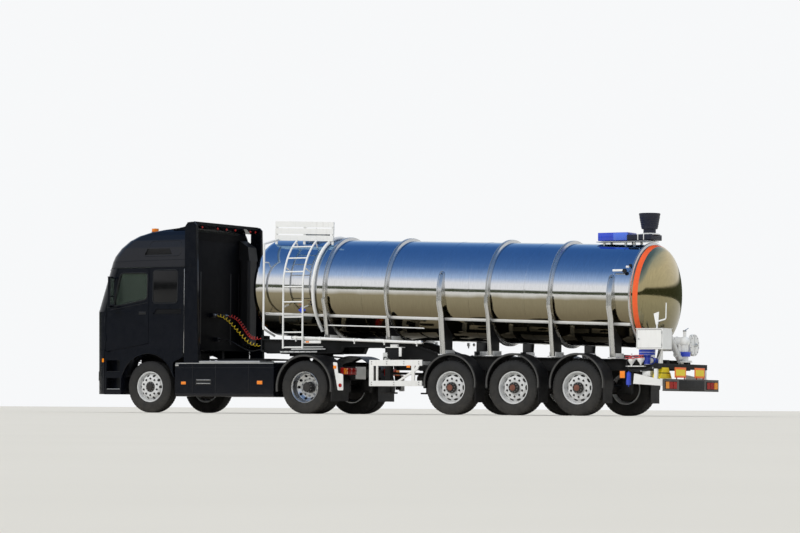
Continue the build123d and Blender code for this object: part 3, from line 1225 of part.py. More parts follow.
def docking_funnel():
    """Upright funnel on its box at the rear of the tank's top."""
    x = REAR_X - 890
    z = tank_axis_z(x) + RING_RADIUS
    box = block(REAR_X - 1882, REAR_X - 1250, -200, 200, z + 25, z + 185)
    base = block(REAR_X - 1252, REAR_X - 742, -250, 250, z + 25, z + 135)
    feet = None
    for foot_x in (REAR_X - 1780, REAR_X - 1330, REAR_X - 1150):
        foot = block(foot_x, foot_x + 40, -180, 180, z - 80, z + 40)
        feet = foot if feet is None else feet + foot
    cutter = along_tank(Rot(0, 90, 0) * Cylinder(TANK_RADIUS + SEAT_GAP, 3000), REAR_X - 1500)
    neck = Pos(x, 0, z + 185) * Cylinder(125, 130)
    bowl_low = z + 240
    bowl = Pos(x, 0, bowl_low + 150) * Cylinder(202, 300)
    bore = Pos(x, 0, bowl_low + 220) * Cylinder(FUNNEL_BORE_RADIUS, 400)
    return box + base + (feet - cutter) + neck + (bowl - bore)


def rear_cabinet():
    """Control cabinet at the left rear, on its bracket, with a flanged valve under it."""
    cabinet = block(REAR_X - 598, REAR_X - 55, -1200, -800, 1240, 1618)
    cabinet = fillet(cabinet.edges().filter_by(Axis.Z), 14)
    bracket = block(REAR_X - 240, REAR_X - 190 - SEAT_GAP, -1000, -900, 980 + SEAT_GAP, 1245)
    valve = bar((VALVE_X, -VALVE_Y, VALVE_FLANGE_Z), (VALVE_X, -VALVE_Y, 1245), VALVE_FLANGE_RADIUS)
    valve += bar((VALVE_X, -VALVE_Y, VALVE_LOW_Z), (VALVE_X, -VALVE_Y, VALVE_FLANGE_Z + 5), VALVE_RADIUS)
    valve += bar((VALVE_X, -VALVE_Y, VALVE_OUTLET_Z), (VALVE_X, -VALVE_Y + 200, VALVE_OUTLET_Z),
                 VALVE_RADIUS - 6)
    return cabinet + bracket + valve


def standing_pipe():
    """Pipe that stands at the left of the tank's front: both ends bend inwards, and two clips hold it."""
    foot = (DRAIN_X, -DRAIN_Y, DRAIN_LOW_Z)
    top = (DRAIN_X, -DRAIN_Y, DRAIN_TOP_Z)
    pipe = bar(foot, top, DRAIN_RADIUS)
    pipe += bar(foot, (DRAIN_X, -DRAIN_Y + 420, DRAIN_LOW_Z - 130), DRAIN_RADIUS)
    pipe += bar(top, (DRAIN_X, -GUARD_Y - 25, DRAIN_TOP_Z + 110), DRAIN_RADIUS)
    for corner in (foot, top):
        pipe += Pos(*corner) * Sphere(DRAIN_RADIUS)
    for z in DRAIN_CLIP_LEVELS:
        pipe += bar((DRAIN_X, -DRAIN_Y, z), (DRAIN_X, 0, z), DRAIN_CLIP)
    return pipe - along_tank(tank_form(SEAT_GAP) + side_rail(SEAT_GAP), RING_A_X)


def pipework():
    """Long side tube on its brackets, standing pipe, rear outlet with its valve, and its round cover."""
    x0, x1, y = KINGPIN_X + 180, KINGPIN_X + 3150, -1050
    z0, z1 = 1503, 1386
    tube = bar((x0, y, z0), (x1, y, z1), 28)
    for station, band in CRADLES[:2]:
        z = rail_top(station) + SOLE_LIFT
        x = KINGPIN_X + station
        tube += block(x - 22, x + 22, y, -CRADLE_FOOT_Y - SOLE_PROUD - SEAT_GAP, z, z + SOLE_THICKNESS)
    reach = TANK_REAR_SEAM_X + 60
    outlet = bar((reach, 0, OUTLET_Z), (OUTLET_X, 0, OUTLET_Z), OUTLET_RADIUS)
    outlet += Pos(OUTLET_X, 0, OUTLET_Z) * Sphere(OUTLET_RADIUS + 16)
    outlet += bar((OUTLET_X, 0, OUTLET_Z + 60), (OUTLET_X, 0, OUTLET_Z + 190), 30)
    outlet += bar((OUTLET_X, 0, 1010), (OUTLET_X, 0, OUTLET_Z), OUTLET_RADIUS - 14)
    outlet += bar((OUTLET_X, 0, 1120), (OUTLET_X, 0, 1205), 104)
    flange = bar((OUTLET_X, 0, 1010), (OUTLET_X, 0, 1010 + FLANGE_THICKNESS), FLANGE_RADIUS)
    for n in range(FLANGE_BOLTS):
        hole = Pos(FLANGE_BOLT_CIRCLE / 2, 0, 0) * Cylinder(FLANGE_HOLE_RADIUS, 4 * FLANGE_THICKNESS)
        flange -= Pos(OUTLET_X, 0, 1010 + FLANGE_THICKNESS / 2) * Rot(0, 0,
                                                                      (n + 0.5) * 360 / FLANGE_BOLTS) * hole
    outlet += flange
    cover_x = REAR_X - 140
    cover = bar((reach, COVER_Y, OUTLET_Z - 60), (cover_x, COVER_Y, OUTLET_Z - 60), 110)
    cover += bar((cover_x - 30, COVER_Y, OUTLET_Z - 60), (cover_x + 30, COVER_Y, OUTLET_Z - 60), COVER_RADIUS)
    outlet += cover
    outlet += bar((OUTLET_X - 80, -90, 1080), (OUTLET_X - 80, -560, 1560), 52)
    outlet += bar((OUTLET_X - 80, -110, 1110), (OUTLET_X, 0, 1110), 52)
    post = block(TRAILER_FRAME_REAR - 70, TRAILER_FRAME_REAR - 20, -60, 60, RAIL_BOTTOM + 120 + SEAT_GAP,
                 OUTLET_Z)
    outlet += post
    outlet -= along_tank(tank_form(SEAT_GAP), RING_A_X)
    return Compound(children=list(tube.solids()) + list(standing_pipe().solids()) + list(outlet.solids()))


def rear_bumper():
    """Lamp bumper across the rear on two side beams."""
    beam = block(REAR_X - 44, REAR_X - LAMP_DEPTH, -1232, 1232, BEAM_LOW_Z, BEAM_TOP_Z)
    for side in SIDES.values():
        y = sorted((side * 1110, side * 1190))
        beam += side_plate([(REAR_X - 660, 600), (REAR_X - 20, 560), (REAR_X - 20, 660),
                            (REAR_X - 640, 790)], *y)
        y = sorted((side * 1060, side * 1120))
        beam += block(REAR_X - 270, REAR_X - 210, *y, 620, RAIL_BOTTOM + 20 - SEAT_GAP)
    return beam


def trailer_lamps():
    """Lamp clusters on the rear bumper and the two marking plates above it."""
    pieces = []
    face = REAR_X - LAMP_DEPTH + SEAT_GAP
    for y in (-1175, 680):
        for n in range(3):
            left = y + n * 168
            pieces.append(block(face, REAR_X, left, left + 150, 515, 640))
    for y0, y1 in ((-710, -210), (180, 640)):
        plate = block(REAR_X - 40, REAR_X - 34, y0, y1, 720, 910)
        for y in (y0 + 60, y1 - 90):
            plate += block(REAR_X - 40, REAR_X - 28, y, y + 30, BEAM_TOP_Z + SEAT_GAP, 730)
        pieces.append(plate)
    return Compound(children=pieces)


def hose(points, radius):
    """Tube along straight runs joined by arcs as large as the runs allow. Returns the tube and its radii."""
    vectors = [Vector(*p) for p in points]
    radii = []
    for a, b, c in zip(vectors, vectors[1:], vectors[2:]):
        turn = (b - a).get_angle(c - b)
        radii.append(0.45 * min((b - a).length, (c - b).length) / tan(radians(turn / 2)))
    path = FilletPolyline(*points, radius=radii)
    start = Plane(origin=points[0], z_dir=vectors[1] - vectors[0])
    tube = sweep(start * Circle(radius), path)
    print("hose length", round(path.length), "radii", [round(r) for r in radii], "volume ratio",
          round(tube.volume / (3.14159265 * radius ** 2 * path.length), 3))
    return tube


def hose_points(y, top, end_y, end_z, sag):
    """Route of a hose from the bracket behind the cab to the board on the trailer's front."""
    x0, x1 = BRACKET_X, BOARD_X
    span = x1 - x0
    drop = top - end_z
    return [
        (x0, y, top),
        (x0 + 0.11 * span, y, top),
        (x0 + 0.27 * span, y + 0.10 * (end_y - y), top - 0.10 * drop - 0.3 * sag),
        (x0 + 0.49 * span, y + 0.45 * (end_y - y), top - 0.44 * drop - 0.9 * sag),
        (x0 + 0.71 * span, y + 0.85 * (end_y - y), top - 0.83 * drop - sag),
        (x0 + 0.89 * span, end_y, end_z),
        (x1, end_y, end_z),
    ]


def yellow_coil():
    """Coiled air hose as one fat tube."""
    return hose(hose_points(-290, 1990, -330, 1365, 60), COIL_DIAMETER / 2)


def red_coil():
    """Second coiled air hose as one fat tube."""
    return hose(hose_points(130, 1990, -330, 1505, 60), COIL_DIAMETER / 2)


def power_cable():
    """Electric cable that hangs lower than the coils."""
    return hose(hose_points(-120, 1500, -250, 1290, 90), CABLE_DIAMETER / 2)


front_tyre, front_rim = front_wheel()
twin_tyres, twin_rim = twin_wheel()
trailer_tyre, trailer_rim = trailer_wheel()

parts = {
    "tractor_frame": tractor_frame(),
    "engine_block": engine_block(),
    "tractor_axles": tractor_axles(),
    "fifth_wheel": fifth_wheel(),
    "bumper": bumper(),
    "tractor_lamps": tractor_lamps(),
    "cab_shell": cab_shell(),
    "front_panel": front_panel(),
    "cab_roof": cab_roof(),
    "windscreen": windscreen(),
    "side_fairings": side_fairings(),
    "front_wings": front_wings(),
    "side_skirts": side_skirts(),
    "drive_fenders": drive_fenders(),
    "seats": seats(),
    "dashboard": dashboard(),
    "intake_stack": intake_stack(),
    "trailer_frame": trailer_frame(),
    "tank_shell": tank_shell(),
    "tank_cradles": tank_cradles(),
    "trailer_axles": trailer_axles(),
    "trailer_fenders": trailer_fenders(),
    "side_guards": side_guards(),
    "access_frame": access_frame(),
    "manhole_lid": lid(),
    "docking_funnel": docking_funnel(),
    "rear_cabinet": rear_cabinet(),
    "pipework": pipework(),
    "rear_bumper": rear_bumper(),
    "trailer_lamps": trailer_lamps(),
    "yellow_coil": yellow_coil(),
    "red_coil": red_coil(),
    "power_cable": power_cable(),
}
for name, side in SIDES.items():
    parts[f"{name}_door"] = door(side)
    parts[f"{name}_door_glass"] = door_glass(side)
    parts[f"{name}_knuckle"] = knuckle(side)
    parts[f"front_{name}_tyre"] = on_axle(front_tyre, FRONT_AXLE_X, FRONT_TYRE_Y, side)
    parts[f"front_{name}_rim"] = on_axle(front_rim, FRONT_AXLE_X, FRONT_TYRE_Y, side)
    parts[f"drive_{name}_tyres"] = on_axle(twin_tyres, DRIVE_AXLE_X, TWIN_Y, side)
    parts[f"drive_{name}_rim"] = on_axle(twin_rim, DRIVE_AXLE_X, TWIN_Y, side)
    for number, x in TRAILER_AXLES.items():
        parts[f"trailer_{name}_tyre_{number}"] = on_axle(trailer_tyre, x, TRAILER_TYRE_Y, side)
        parts[f"trailer_{name}_rim_{number}"] = on_axle(trailer_rim, x, TRAILER_TYRE_Y, side)

os.makedirs("parts", exist_ok=True)
for name, shape in parts.items():
    export_step(shape, f"parts/{name}.step")
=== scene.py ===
import json
from math import cos, pi, radians, sin, tan

import bmesh
import bpy
import numpy as np
from mathutils import Matrix


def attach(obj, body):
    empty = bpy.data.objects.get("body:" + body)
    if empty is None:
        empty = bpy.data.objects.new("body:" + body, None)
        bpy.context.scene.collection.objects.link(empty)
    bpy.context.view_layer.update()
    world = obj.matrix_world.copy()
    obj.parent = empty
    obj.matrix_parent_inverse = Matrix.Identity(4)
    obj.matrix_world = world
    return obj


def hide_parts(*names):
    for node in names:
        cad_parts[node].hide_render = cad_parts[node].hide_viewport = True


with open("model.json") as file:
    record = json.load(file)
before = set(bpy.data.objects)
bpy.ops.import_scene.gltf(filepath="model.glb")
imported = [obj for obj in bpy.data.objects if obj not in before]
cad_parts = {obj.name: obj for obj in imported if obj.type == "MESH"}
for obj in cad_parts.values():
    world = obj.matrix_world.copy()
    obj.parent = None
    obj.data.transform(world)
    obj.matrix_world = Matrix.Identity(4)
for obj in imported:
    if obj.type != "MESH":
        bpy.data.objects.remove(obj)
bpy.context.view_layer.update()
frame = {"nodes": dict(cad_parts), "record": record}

# Places along the lorry in metres, as in the part's source: the lorry faces -X and its left side is -Y
FRONT_X = -6.435
REAR_X = 6.435
FRONT_AXLE_X = -5.035
DRIVE_AXLE_X = -1.335
KINGPIN_X = -1.915
TRAILER_AXLES = {"1": 1.928, "2": 3.278, "3": 4.628}
SIDES = {"left": -1, "right": 1}
CAB_REAR_X = FRONT_AXLE_X + 0.871

# Tank
TANK_TILT = radians(1.98)
TANK_RADIUS = 0.975
RING_RADIUS = 1.032
RING_A_X = KINGPIN_X + 2.289
TANK_AXIS_AT_RING_A = 2.438
RING_STATIONS = [0.638, 0.89, 2.289, 4.518, 5.853]
FRONT_SEAM_X = KINGPIN_X - 0.64
REAR_SEAM_X = REAR_X - 0.808
FRONT_HEAD_DEPTH = 0.44
REAR_HEAD_DEPTH = 0.4

# Wheels: distance of each wheel's middle from the lorry's middle, and widths of the tyres
TYRE_RADIUS = 0.522
FRONT_WHEEL_Y = 1.03
DRIVE_WHEEL_Y = 0.918
TRAILER_WHEEL_Y = 1.045
TWIN_OFFSET = 0.1675
FRONT_TYRE_WIDTH = 0.3
TWIN_TYRE_WIDTH = 0.29
TRAILER_TYRE_WIDTH = 0.37


def axis_z(x):
    """Height of the tank's axis, which falls towards the rear."""
    return TANK_AXIS_AT_RING_A - (x - RING_A_X) * tan(TANK_TILT)


# Camera and light

PICTURE_WIDTH = 800
CAMERA_PLACE = (30.3658, -52.998, 0.12)
CAMERA_YAW = 0.51865
CAMERA_PITCH = 0.04584
CAMERA_ROLL = 0.00628
FOCAL_PIXELS = 3090.3
SENSOR_WIDTH = 36.0
VIEW_REACH = 2000
LAMP_DISTANCE = 40
FLOOR_REACH = 600.0

HEDGE_COLOUR = (0.07, 0.08, 0.05)
DOME_COLOURS = [(0.0, HEDGE_COLOUR), (0.085, HEDGE_COLOUR), (0.115, (0.97, 0.97, 0.97)),
                (0.3, (0.93, 0.94, 0.96)), (0.48, (0.42, 0.56, 0.8)), (0.75, (0.14, 0.26, 0.5)),
                (1.0, (0.1, 0.2, 0.42))]


def looking(right, up, ahead, place):
    """Matrix of something that looks ahead: its columns are right, up, the opposite of ahead, and its
    place."""
    return Matrix([[right[i], up[i], -ahead[i], place[i]] for i in range(3)] + [[0, 0, 0, 1]])


def photo_camera():
    """Camera at the photograph's place. Its axes are a yaw about Z, a pitch and a roll, written as three
    unit vectors."""
    yaw, pitch, roll = CAMERA_YAW, CAMERA_PITCH, CAMERA_ROLL
    ahead = np.array([-sin(yaw) * cos(pitch), cos(yaw) * cos(pitch), sin(pitch)])
    level = np.array([cos(yaw), sin(yaw), 0.0])
    up = np.cross(level, ahead)
    right = level * cos(roll) + up * sin(roll)
    top = up * cos(roll) - level * sin(roll)
    data = bpy.data.cameras.new("photo_camera")
    data.sensor_width = SENSOR_WIDTH
    data.sensor_fit = "HORIZONTAL"
    data.lens = FOCAL_PIXELS / PICTURE_WIDTH * SENSOR_WIDTH
    data.clip_end = VIEW_REACH
    camera = bpy.data.objects.new("photo_camera", data)
    camera.matrix_world = looking(right, top, ahead, CAMERA_PLACE)
    bpy.context.scene.collection.objects.link(camera)
    bpy.context.scene.camera = camera


def node(tree, kind, settings=None):
    """One shader node. A setting is a property, the value of an input, or a socket that is linked to the
    input."""
    made = tree.nodes.new(kind)
    for key, value in (settings or {}).items():
        if isinstance(value, bpy.types.NodeSocket):
            tree.links.new(value, made.inputs[key])
        elif isinstance(key, int) or key in made.inputs:
            made.inputs[key].default_value = value
        else:
            setattr(made, key, value)
    return made


def colour_ramp(tree, value, stops):
    """Colours over a value between 0 and 1, from pairs of a place and a colour in rising order."""
    ramp = node(tree, "ShaderNodeValToRGB", {"Fac": value})
    elements = ramp.color_ramp.elements
    for element, (place, colour) in zip(elements, (stops[0], stops[-1])):
        element.position = place
        element.color = (*colour, 1)
    for place, colour in stops[1:-1]:
        elements.new(place).color = (*colour, 1)
    return ramp.outputs["Color"]


def noise(tree, spot, scale, detail, rough=0.5):
    """Noise over a place, between 0 and 1."""
    settings = {"Scale": scale, "Detail": detail, "Roughness": rough, "Vector": spot}
    return node(tree, "ShaderNodeTexNoise", settings).outputs["Fac"]


def ranged(tree, value, low, high, to_low=0.0, to_high=1.0):
    """A value's range from low to high stretched to another one, and held at its ends."""
    settings = {"From Min": low, "From Max": high, "To Min": to_low, "To Max": to_high, "Value": value}
    return node(tree, "ShaderNodeMapRange", settings).outputs[0]


def reckoned(tree, operation, *terms, clamp=False):
    """Result of one operation on two or three numbers or sockets."""
    settings = {"operation": operation, "use_clamp": clamp, **dict(enumerate(terms))}
    return node(tree, "ShaderNodeMath", settings).outputs[0]


def mixed(tree, share, under, over, blend="MIX"):
    """Colour over another one by a share. The sockets 0, 6 and 7 are the share and the two colours."""
    settings = {"data_type": "RGBA", "blend_type": blend, 0: share, 6: under, 7: over}
    return node(tree, "ShaderNodeMix", settings).outputs[2]


def studio_world():
    """Soft studio dome: even light for matt surfaces. Polished surfaces see a low dark hedge at the
    horizon, pale air over it and deep blue overhead."""
    world = bpy.data.worlds.new("studio_dome")
    world.use_nodes = True
    tree = world.node_tree
    tree.nodes.clear()
    place = node(tree, "ShaderNodeTexCoord")
    split = node(tree, "ShaderNodeSeparateXYZ", {"Vector": place.outputs["Generated"]})
    dome = colour_ramp(tree, split.outputs["Z"], DOME_COLOURS)
    mirrored_dome = node(tree, "ShaderNodeBackground", {"Strength": 0.9, "Color": dome})
    light = node(tree, "ShaderNodeBackground", {"Color": (0.86, 0.9, 0.96, 1), "Strength": 0.8})
    shown = node(tree, "ShaderNodeBackground", {"Color": (0.93, 0.94, 0.95, 1), "Strength": 1.0})
    rays = node(tree, "ShaderNodeLightPath").outputs
    glossy = node(tree, "ShaderNodeMixShader",
                  {0: rays["Is Glossy Ray"], 1: light.outputs[0], 2: mirrored_dome.outputs[0]})
    mix = node(tree, "ShaderNodeMixShader",
               {0: rays["Is Camera Ray"], 1: glossy.outputs[0], 2: shown.outputs[0]})
    node(tree, "ShaderNodeOutputWorld", {"Surface": mix.outputs[0]})
    bpy.context.scene.world = world


def soft_sun(name, direction, strength, spread, colour):
    """Large soft lamp far away: a sun lamp that shines along a direction."""
    data = bpy.data.lights.new(name, "SUN")
    data.energy = strength
    data.angle = spread
    data.color = colour
    lamp = bpy.data.objects.new(name, data)
    lamp.visible_glossy = False
    ahead = np.array(direction) / np.linalg.norm(direction)
    side = np.cross(ahead, [0, 0, 1])
    side /= np.linalg.norm(side)
    lamp.matrix_world = looking(side, np.cross(side, ahead), ahead, -LAMP_DISTANCE * ahead)
    bpy.context.scene.collection.objects.link(lamp)


def studio_floor():
    """Flat pale floor: a square about the origin at height nought."""
    mesh = bpy.data.meshes.new("studio_floor")
    corners = [(x * FLOOR_REACH, y * FLOOR_REACH, 0) for x, y in ((-1, -1), (1, -1), (1, 1), (-1, 1))]
    mesh.from_pydata(corners, [], [(0, 1, 2, 3)])
    floor = bpy.data.objects.new("studio_floor", mesh)
    bpy.context.scene.collection.objects.link(floor)
    material = bpy.data.materials.new("floor_paint")
    material.use_nodes = True
    tree = material.node_tree
    bsdf = tree.nodes["Principled BSDF"]
    bsdf.inputs["Roughness"].default_value = 0.9
    bsdf.inputs["Specular IOR Level"].default_value = 0.1
    spot = node(tree, "ShaderNodeTexCoord").outputs["Object"]
    clouds = noise(tree, spot, 0.8, 3.0)
    shade = colour_ramp(tree, clouds, [(0.0, (0.7, 0.67, 0.6)), (1.0, (0.74, 0.71, 0.64))])
    tree.links.new(shade, bsdf.inputs["Base Color"])
    mesh.materials.append(material)


photo_camera()
studio_world()
soft_sun("key_sun", (0.35, 0.75, -0.6), 1.5, radians(25), (1.0, 0.975, 0.94))
soft_sun("fill_sun", (-0.8, -0.3, -0.5), 0.35, radians(60), (0.93, 0.96, 1.0))
studio_floor()
bpy.context.scene.view_settings.view_transform = "Standard"


# Finishes

DUST_FOOT = 0.1
LIGHT_DUST = (0.3, 0.26, 0.21)


def finish(name, colour, rough=0.5, metal=0.0, coat=0.0, coat_rough=0.05, ior=1.5, alpha=1.0,
           transmission=0.0, mottle=0.12, mottle_scale=3.0, rough_swing=0.1, grain=0.0, grain_scale=300.0,
           dust=0.0, dust_top=1.2, dust_colour=LIGHT_DUST, sheen=0.0, streaks=0.0, specular=0.5, zones=()):
    """Painted, cast or bare surface. Its colour varies with two layers of noise, road dust thins out with
    height, streaks run down, and fine noise gives roughness and grain. A zone is (axis, low, high,
    colour): its colour takes the base's place between two levels of that coordinate."""
    material = bpy.data.materials.new(name)
    material.use_nodes = True
    tree = material.node_tree
    bsdf = tree.nodes["Principled BSDF"]
    for key, value in (("Metallic", metal), ("Coat Weight", coat), ("Coat Roughness", coat_rough),
                       ("IOR", ior), ("Alpha", alpha), ("Transmission Weight", transmission),
                       ("Sheen Weight", sheen), ("Specular IOR Level", specular)):
        bsdf.inputs[key].default_value = value
    spot = node(tree, "ShaderNodeTexCoord").outputs["Object"]
    axes = node(tree, "ShaderNodeSeparateXYZ", {"Vector": spot}).outputs
    dark = tuple(c * (1 - mottle) for c in colour) + (1,)
    pale = tuple(min(1, c * (1 + mottle)) for c in colour) + (1,)
    shade = mixed(tree, noise(tree, spot, mottle_scale, 6.0, 0.6), dark, pale)
    for axis, low, high, zone_colour in zones:
        above = reckoned(tree, "GREATER_THAN", axes[axis], low)
        below = reckoned(tree, "LESS_THAN", axes[axis], high)
        shade = mixed(tree, reckoned(tree, "MULTIPLY", above, below), shade, (*zone_colour, 1))
    if streaks:
        stretch = node(tree, "ShaderNodeMapping", {"Scale": (9.0, 9.0, 0.7), "Vector": spot}).outputs[0]
        lines = noise(tree, stretch, 2.4, 5.0, 0.7)
        shade = mixed(tree, ranged(tree, lines, 0.52, 0.78, 0.0, streaks), shade, (*dust_colour, 1))
    smear = noise(tree, spot, mottle_scale * 2.7, 4.0)
    roughness = ranged(tree, smear, 0.0, 1.0, max(0.0, rough - rough_swing), min(1.0, rough + rough_swing))
    if dust:
        height = ranged(tree, axes["Z"], DUST_FOOT, dust_top, 1.0, 0.0)
        patches = ranged(tree, noise(tree, spot, 7.0, 7.0, 0.65), 0.32, 0.68, 0.25, 1.0)
        amount = reckoned(tree, "MULTIPLY", reckoned(tree, "MULTIPLY", height, patches), dust)
        shade = mixed(tree, amount, shade, (*dust_colour, 1))
        roughness = reckoned(tree, "MULTIPLY_ADD", amount, 0.6, roughness, clamp=True)
    tree.links.new(shade, bsdf.inputs["Base Color"])
    tree.links.new(roughness, bsdf.inputs["Roughness"])
    if grain:
        fine = noise(tree, spot, grain_scale, 3.0)
        bump = node(tree, "ShaderNodeBump", {"Strength": 0.5, "Distance": grain, "Height": fine})
        tree.links.new(bump.outputs[0], bsdf.inputs["Normal"])
    return material


LAMP_RED = (0.34, 0.008, 0.006)
SOOT_DUST = (0.08, 0.07, 0.06)
DARK_DUST = (0.1, 0.09, 0.08)

cab_paint = finish("cab_paint", (0.003, 0.004, 0.008), rough=0.18, coat=0.35, coat_rough=0.03, mottle=0.2,
                   specular=0.2, dust=0.1, dust_top=0.9, dust_colour=DARK_DUST)
chassis_paint = finish("chassis_paint", (0.01, 0.01, 0.01), rough=0.6, mottle=0.3, dust=0.3, grain=0.002,
                       dust_colour=SOOT_DUST, specular=0.3)
white_paint = finish("white_paint", (0.82, 0.82, 0.8), rough=0.38, coat=0.3, mottle=0.05, dust=0.35,
                     streaks=0.2)
pale_grey_paint = finish("pale_grey_paint", (0.62, 0.63, 0.62), rough=0.4, coat=0.2, mottle=0.08, dust=0.3,
                         streaks=0.2)
blue_paint = finish("blue_paint", (0.02, 0.06, 0.55), rough=0.35, coat=0.4, mottle=0.2, streaks=0.15)
navy_plastic = finish("navy_plastic", (0.006, 0.008, 0.022), rough=0.45, mottle=0.3)
rim_white = finish("rim_white", (0.7, 0.71, 0.71), rough=0.35, coat=0.25, dust=0.35, dust_top=1.0,
                   mottle=0.1)
rim_bright = finish("rim_bright", (0.66, 0.67, 0.68), rough=0.22, metal=1.0, dust=0.3, dust_top=1.0)
nut_steel = finish("nut_steel", (0.5, 0.5, 0.5), rough=0.35, metal=1.0, mottle=0.3, dust=0.3)
dark_steel = finish("dark_steel", (0.03, 0.03, 0.032), rough=0.5, metal=0.6, mottle=0.3, dust=0.3)
hub_rust = finish("hub_rust", (0.16, 0.045, 0.025), rough=0.6, mottle=0.4, mottle_scale=14.0, dust=0.2)
rubber = finish("tyre_rubber", (0.02, 0.02, 0.02), rough=0.7, mottle=0.3, mottle_scale=8.0, dust=0.35,
                dust_top=1.1, grain=0.002, dust_colour=(0.11, 0.1, 0.085), specular=0.3)
black_plastic = finish("black_plastic", (0.01, 0.01, 0.011), rough=0.5, mottle=0.25, dust=0.15, grain=0.001,
                       specular=0.3, dust_colour=DARK_DUST)
seal_rubber = finish("seal_rubber", (0.008, 0.008, 0.008), rough=0.6, mottle=0.3)
window_glass = finish("window_glass", (0.28, 0.35, 0.31), rough=0.01, transmission=0.9, ior=1.45,
                      mottle=0.02, rough_swing=0.01)
red_lens = finish("red_lens", LAMP_RED, rough=0.2, coat=0.2, mottle=0.15, specular=0.3)
amber_lens = finish("amber_lens", (0.9, 0.24, 0.01), rough=0.2, coat=0.3)
orange_tape = finish("orange_tape", (0.85, 0.11, 0.02), rough=0.35, mottle=0.15, mottle_scale=12.0)
clear_lens = finish("clear_lens", (0.72, 0.73, 0.76), rough=0.08, coat=1.0, mottle=0.1)
seat_cloth = finish("seat_cloth", (0.06, 0.06, 0.07), rough=0.9, sheen=0.4, mottle=0.3, grain=0.003)
yellow_plastic = finish("yellow_plastic", (0.85, 0.66, 0.01), rough=0.4, mottle=0.15, dust=0.2)
yellow_hose_skin = finish("yellow_hose_skin", (0.85, 0.6, 0.01), rough=0.32, coat=0.3)
red_hose_skin = finish("red_hose_skin", (0.62, 0.02, 0.015), rough=0.32, coat=0.3)
black_hose_skin = finish("black_hose_skin", (0.015, 0.015, 0.015), rough=0.45)
tread_plate = finish("tread_plate", (0.55, 0.55, 0.54), rough=0.35, metal=0.8, mottle=0.15, dust=0.2,
                     grain=0.003, grain_scale=60.0)

# Painted reflection in the polished shell's base colour from its foot to its top (brown ground and shade
# below, a white horizon band, blue sky above), and a duller olive one, darker towards the bottom, on its
# rear end
SHELL_FOOT_Z = 1.45
SHELL_TOP_Z = 3.45
SHELL_PAINTED_REFLECTION = [(0.0, (0.1, 0.085, 0.06)), (0.3, (0.26, 0.22, 0.14)), (0.46, (0.34, 0.3, 0.2)),
              (0.5, (0.84, 0.84, 0.84)), (0.66, (0.82, 0.83, 0.86)), (0.8, (0.4, 0.56, 0.74)),
              (1.0, (0.13, 0.34, 0.6))]
REAR_PAINTED_REFLECTION = [(0.0, (0.1, 0.085, 0.05)), (0.45, (0.34, 0.3, 0.17)), (1.0, (0.62, 0.5, 0.26))]
SEAM_BLUR = 0.01


def polished_steel():
    """Mirror-polished shell. Its base colour carries a painted reflection by height: brown ground and shade
    below, a white band of bright horizon, bluish sky above. Over it go fine round-the-tank brush lines,
    shallow ripples that bend reflections and dried runs. On the rear end the painted reflection is duller
    and olive all over, darker towards the bottom."""
    material = finish("polished_steel", (0.74, 0.75, 0.76), rough=0.07, metal=1.0, mottle=0.05,
                      rough_swing=0.04)
    tree = material.node_tree
    bsdf = tree.nodes["Principled BSDF"]
    spot = node(tree, "ShaderNodeTexCoord").outputs["Object"]
    level = node(tree, "ShaderNodeMapping", {"Rotation": (0.0, -TANK_TILT, 0.0), "Vector": spot}).outputs[0]
    axes = node(tree, "ShaderNodeSeparateXYZ", {"Vector": level}).outputs
    lift = reckoned(tree, "MULTIPLY_ADD", noise(tree, spot, 1.6, 2.0), 0.1, axes["Z"])
    height = ranged(tree, lift, SHELL_FOOT_Z, SHELL_TOP_Z)
    seam = REAR_SEAM_X * cos(TANK_TILT) - axis_z(REAR_SEAM_X) * sin(TANK_TILT)
    at_rear = ranged(tree, axes["X"], seam - SEAM_BLUR, seam + SEAM_BLUR)
    # Painted reflection: the shell's sky, horizon and ground colours by height, and the rear end's olive
    # one
    painted_reflection = mixed(tree, at_rear, colour_ramp(tree, height, SHELL_PAINTED_REFLECTION), colour_ramp(tree, height, REAR_PAINTED_REFLECTION))
    stretch = node(tree, "ShaderNodeMapping", {"Scale": (14.0, 1.2, 1.2), "Vector": spot}).outputs[0]
    runs = ranged(tree, noise(tree, stretch, 6.0, 6.0, 0.7), 0.35, 0.75, 1.0, 0.82)
    tree.links.new(mixed(tree, 1.0, painted_reflection, runs, "MULTIPLY"), bsdf.inputs["Base Color"])
    ripple = noise(tree, spot, 2.2, 2.0)
    bump = node(tree, "ShaderNodeBump", {"Strength": 0.35, "Distance": 0.004, "Height": ripple})
    tree.links.new(bump.outputs[0], bsdf.inputs["Normal"])
    return material


mirror_steel = polished_steel()
LAMP_AMBER = (0.9, 0.26, 0.01)
REAR_AMBER = (0.85, 0.3, 0.03)
lamp_glass = finish("lamp_glass", (0.6, 0.62, 0.66), rough=0.08, coat=0.5, mottle=0.1,
                    zones=[("Z", 3.4, 4.0, LAMP_AMBER), ("Z", 0.95, 1.2, LAMP_AMBER),
                           ("X", -2.0, 0.0, LAMP_RED)])
rear_glass = finish("rear_glass", LAMP_RED, rough=0.2, coat=0.2, mottle=0.15, specular=0.3,
                    zones=[("Y", -1.2, -1.02, REAR_AMBER), ("Y", 1.01, 1.2, REAR_AMBER)])
lamp_beam_steel = finish("lamp_beam_steel", (0.8, 0.8, 0.78), rough=0.4, coat=0.2, mottle=0.08, dust=0.3,
                         zones=[("X", REAR_X - 0.046, REAR_X + 0.1, (0.05, 0.05, 0.05))])
brushed_steel = finish("brushed_steel", (0.62, 0.62, 0.61), rough=0.25, metal=1.0, mottle=0.1)

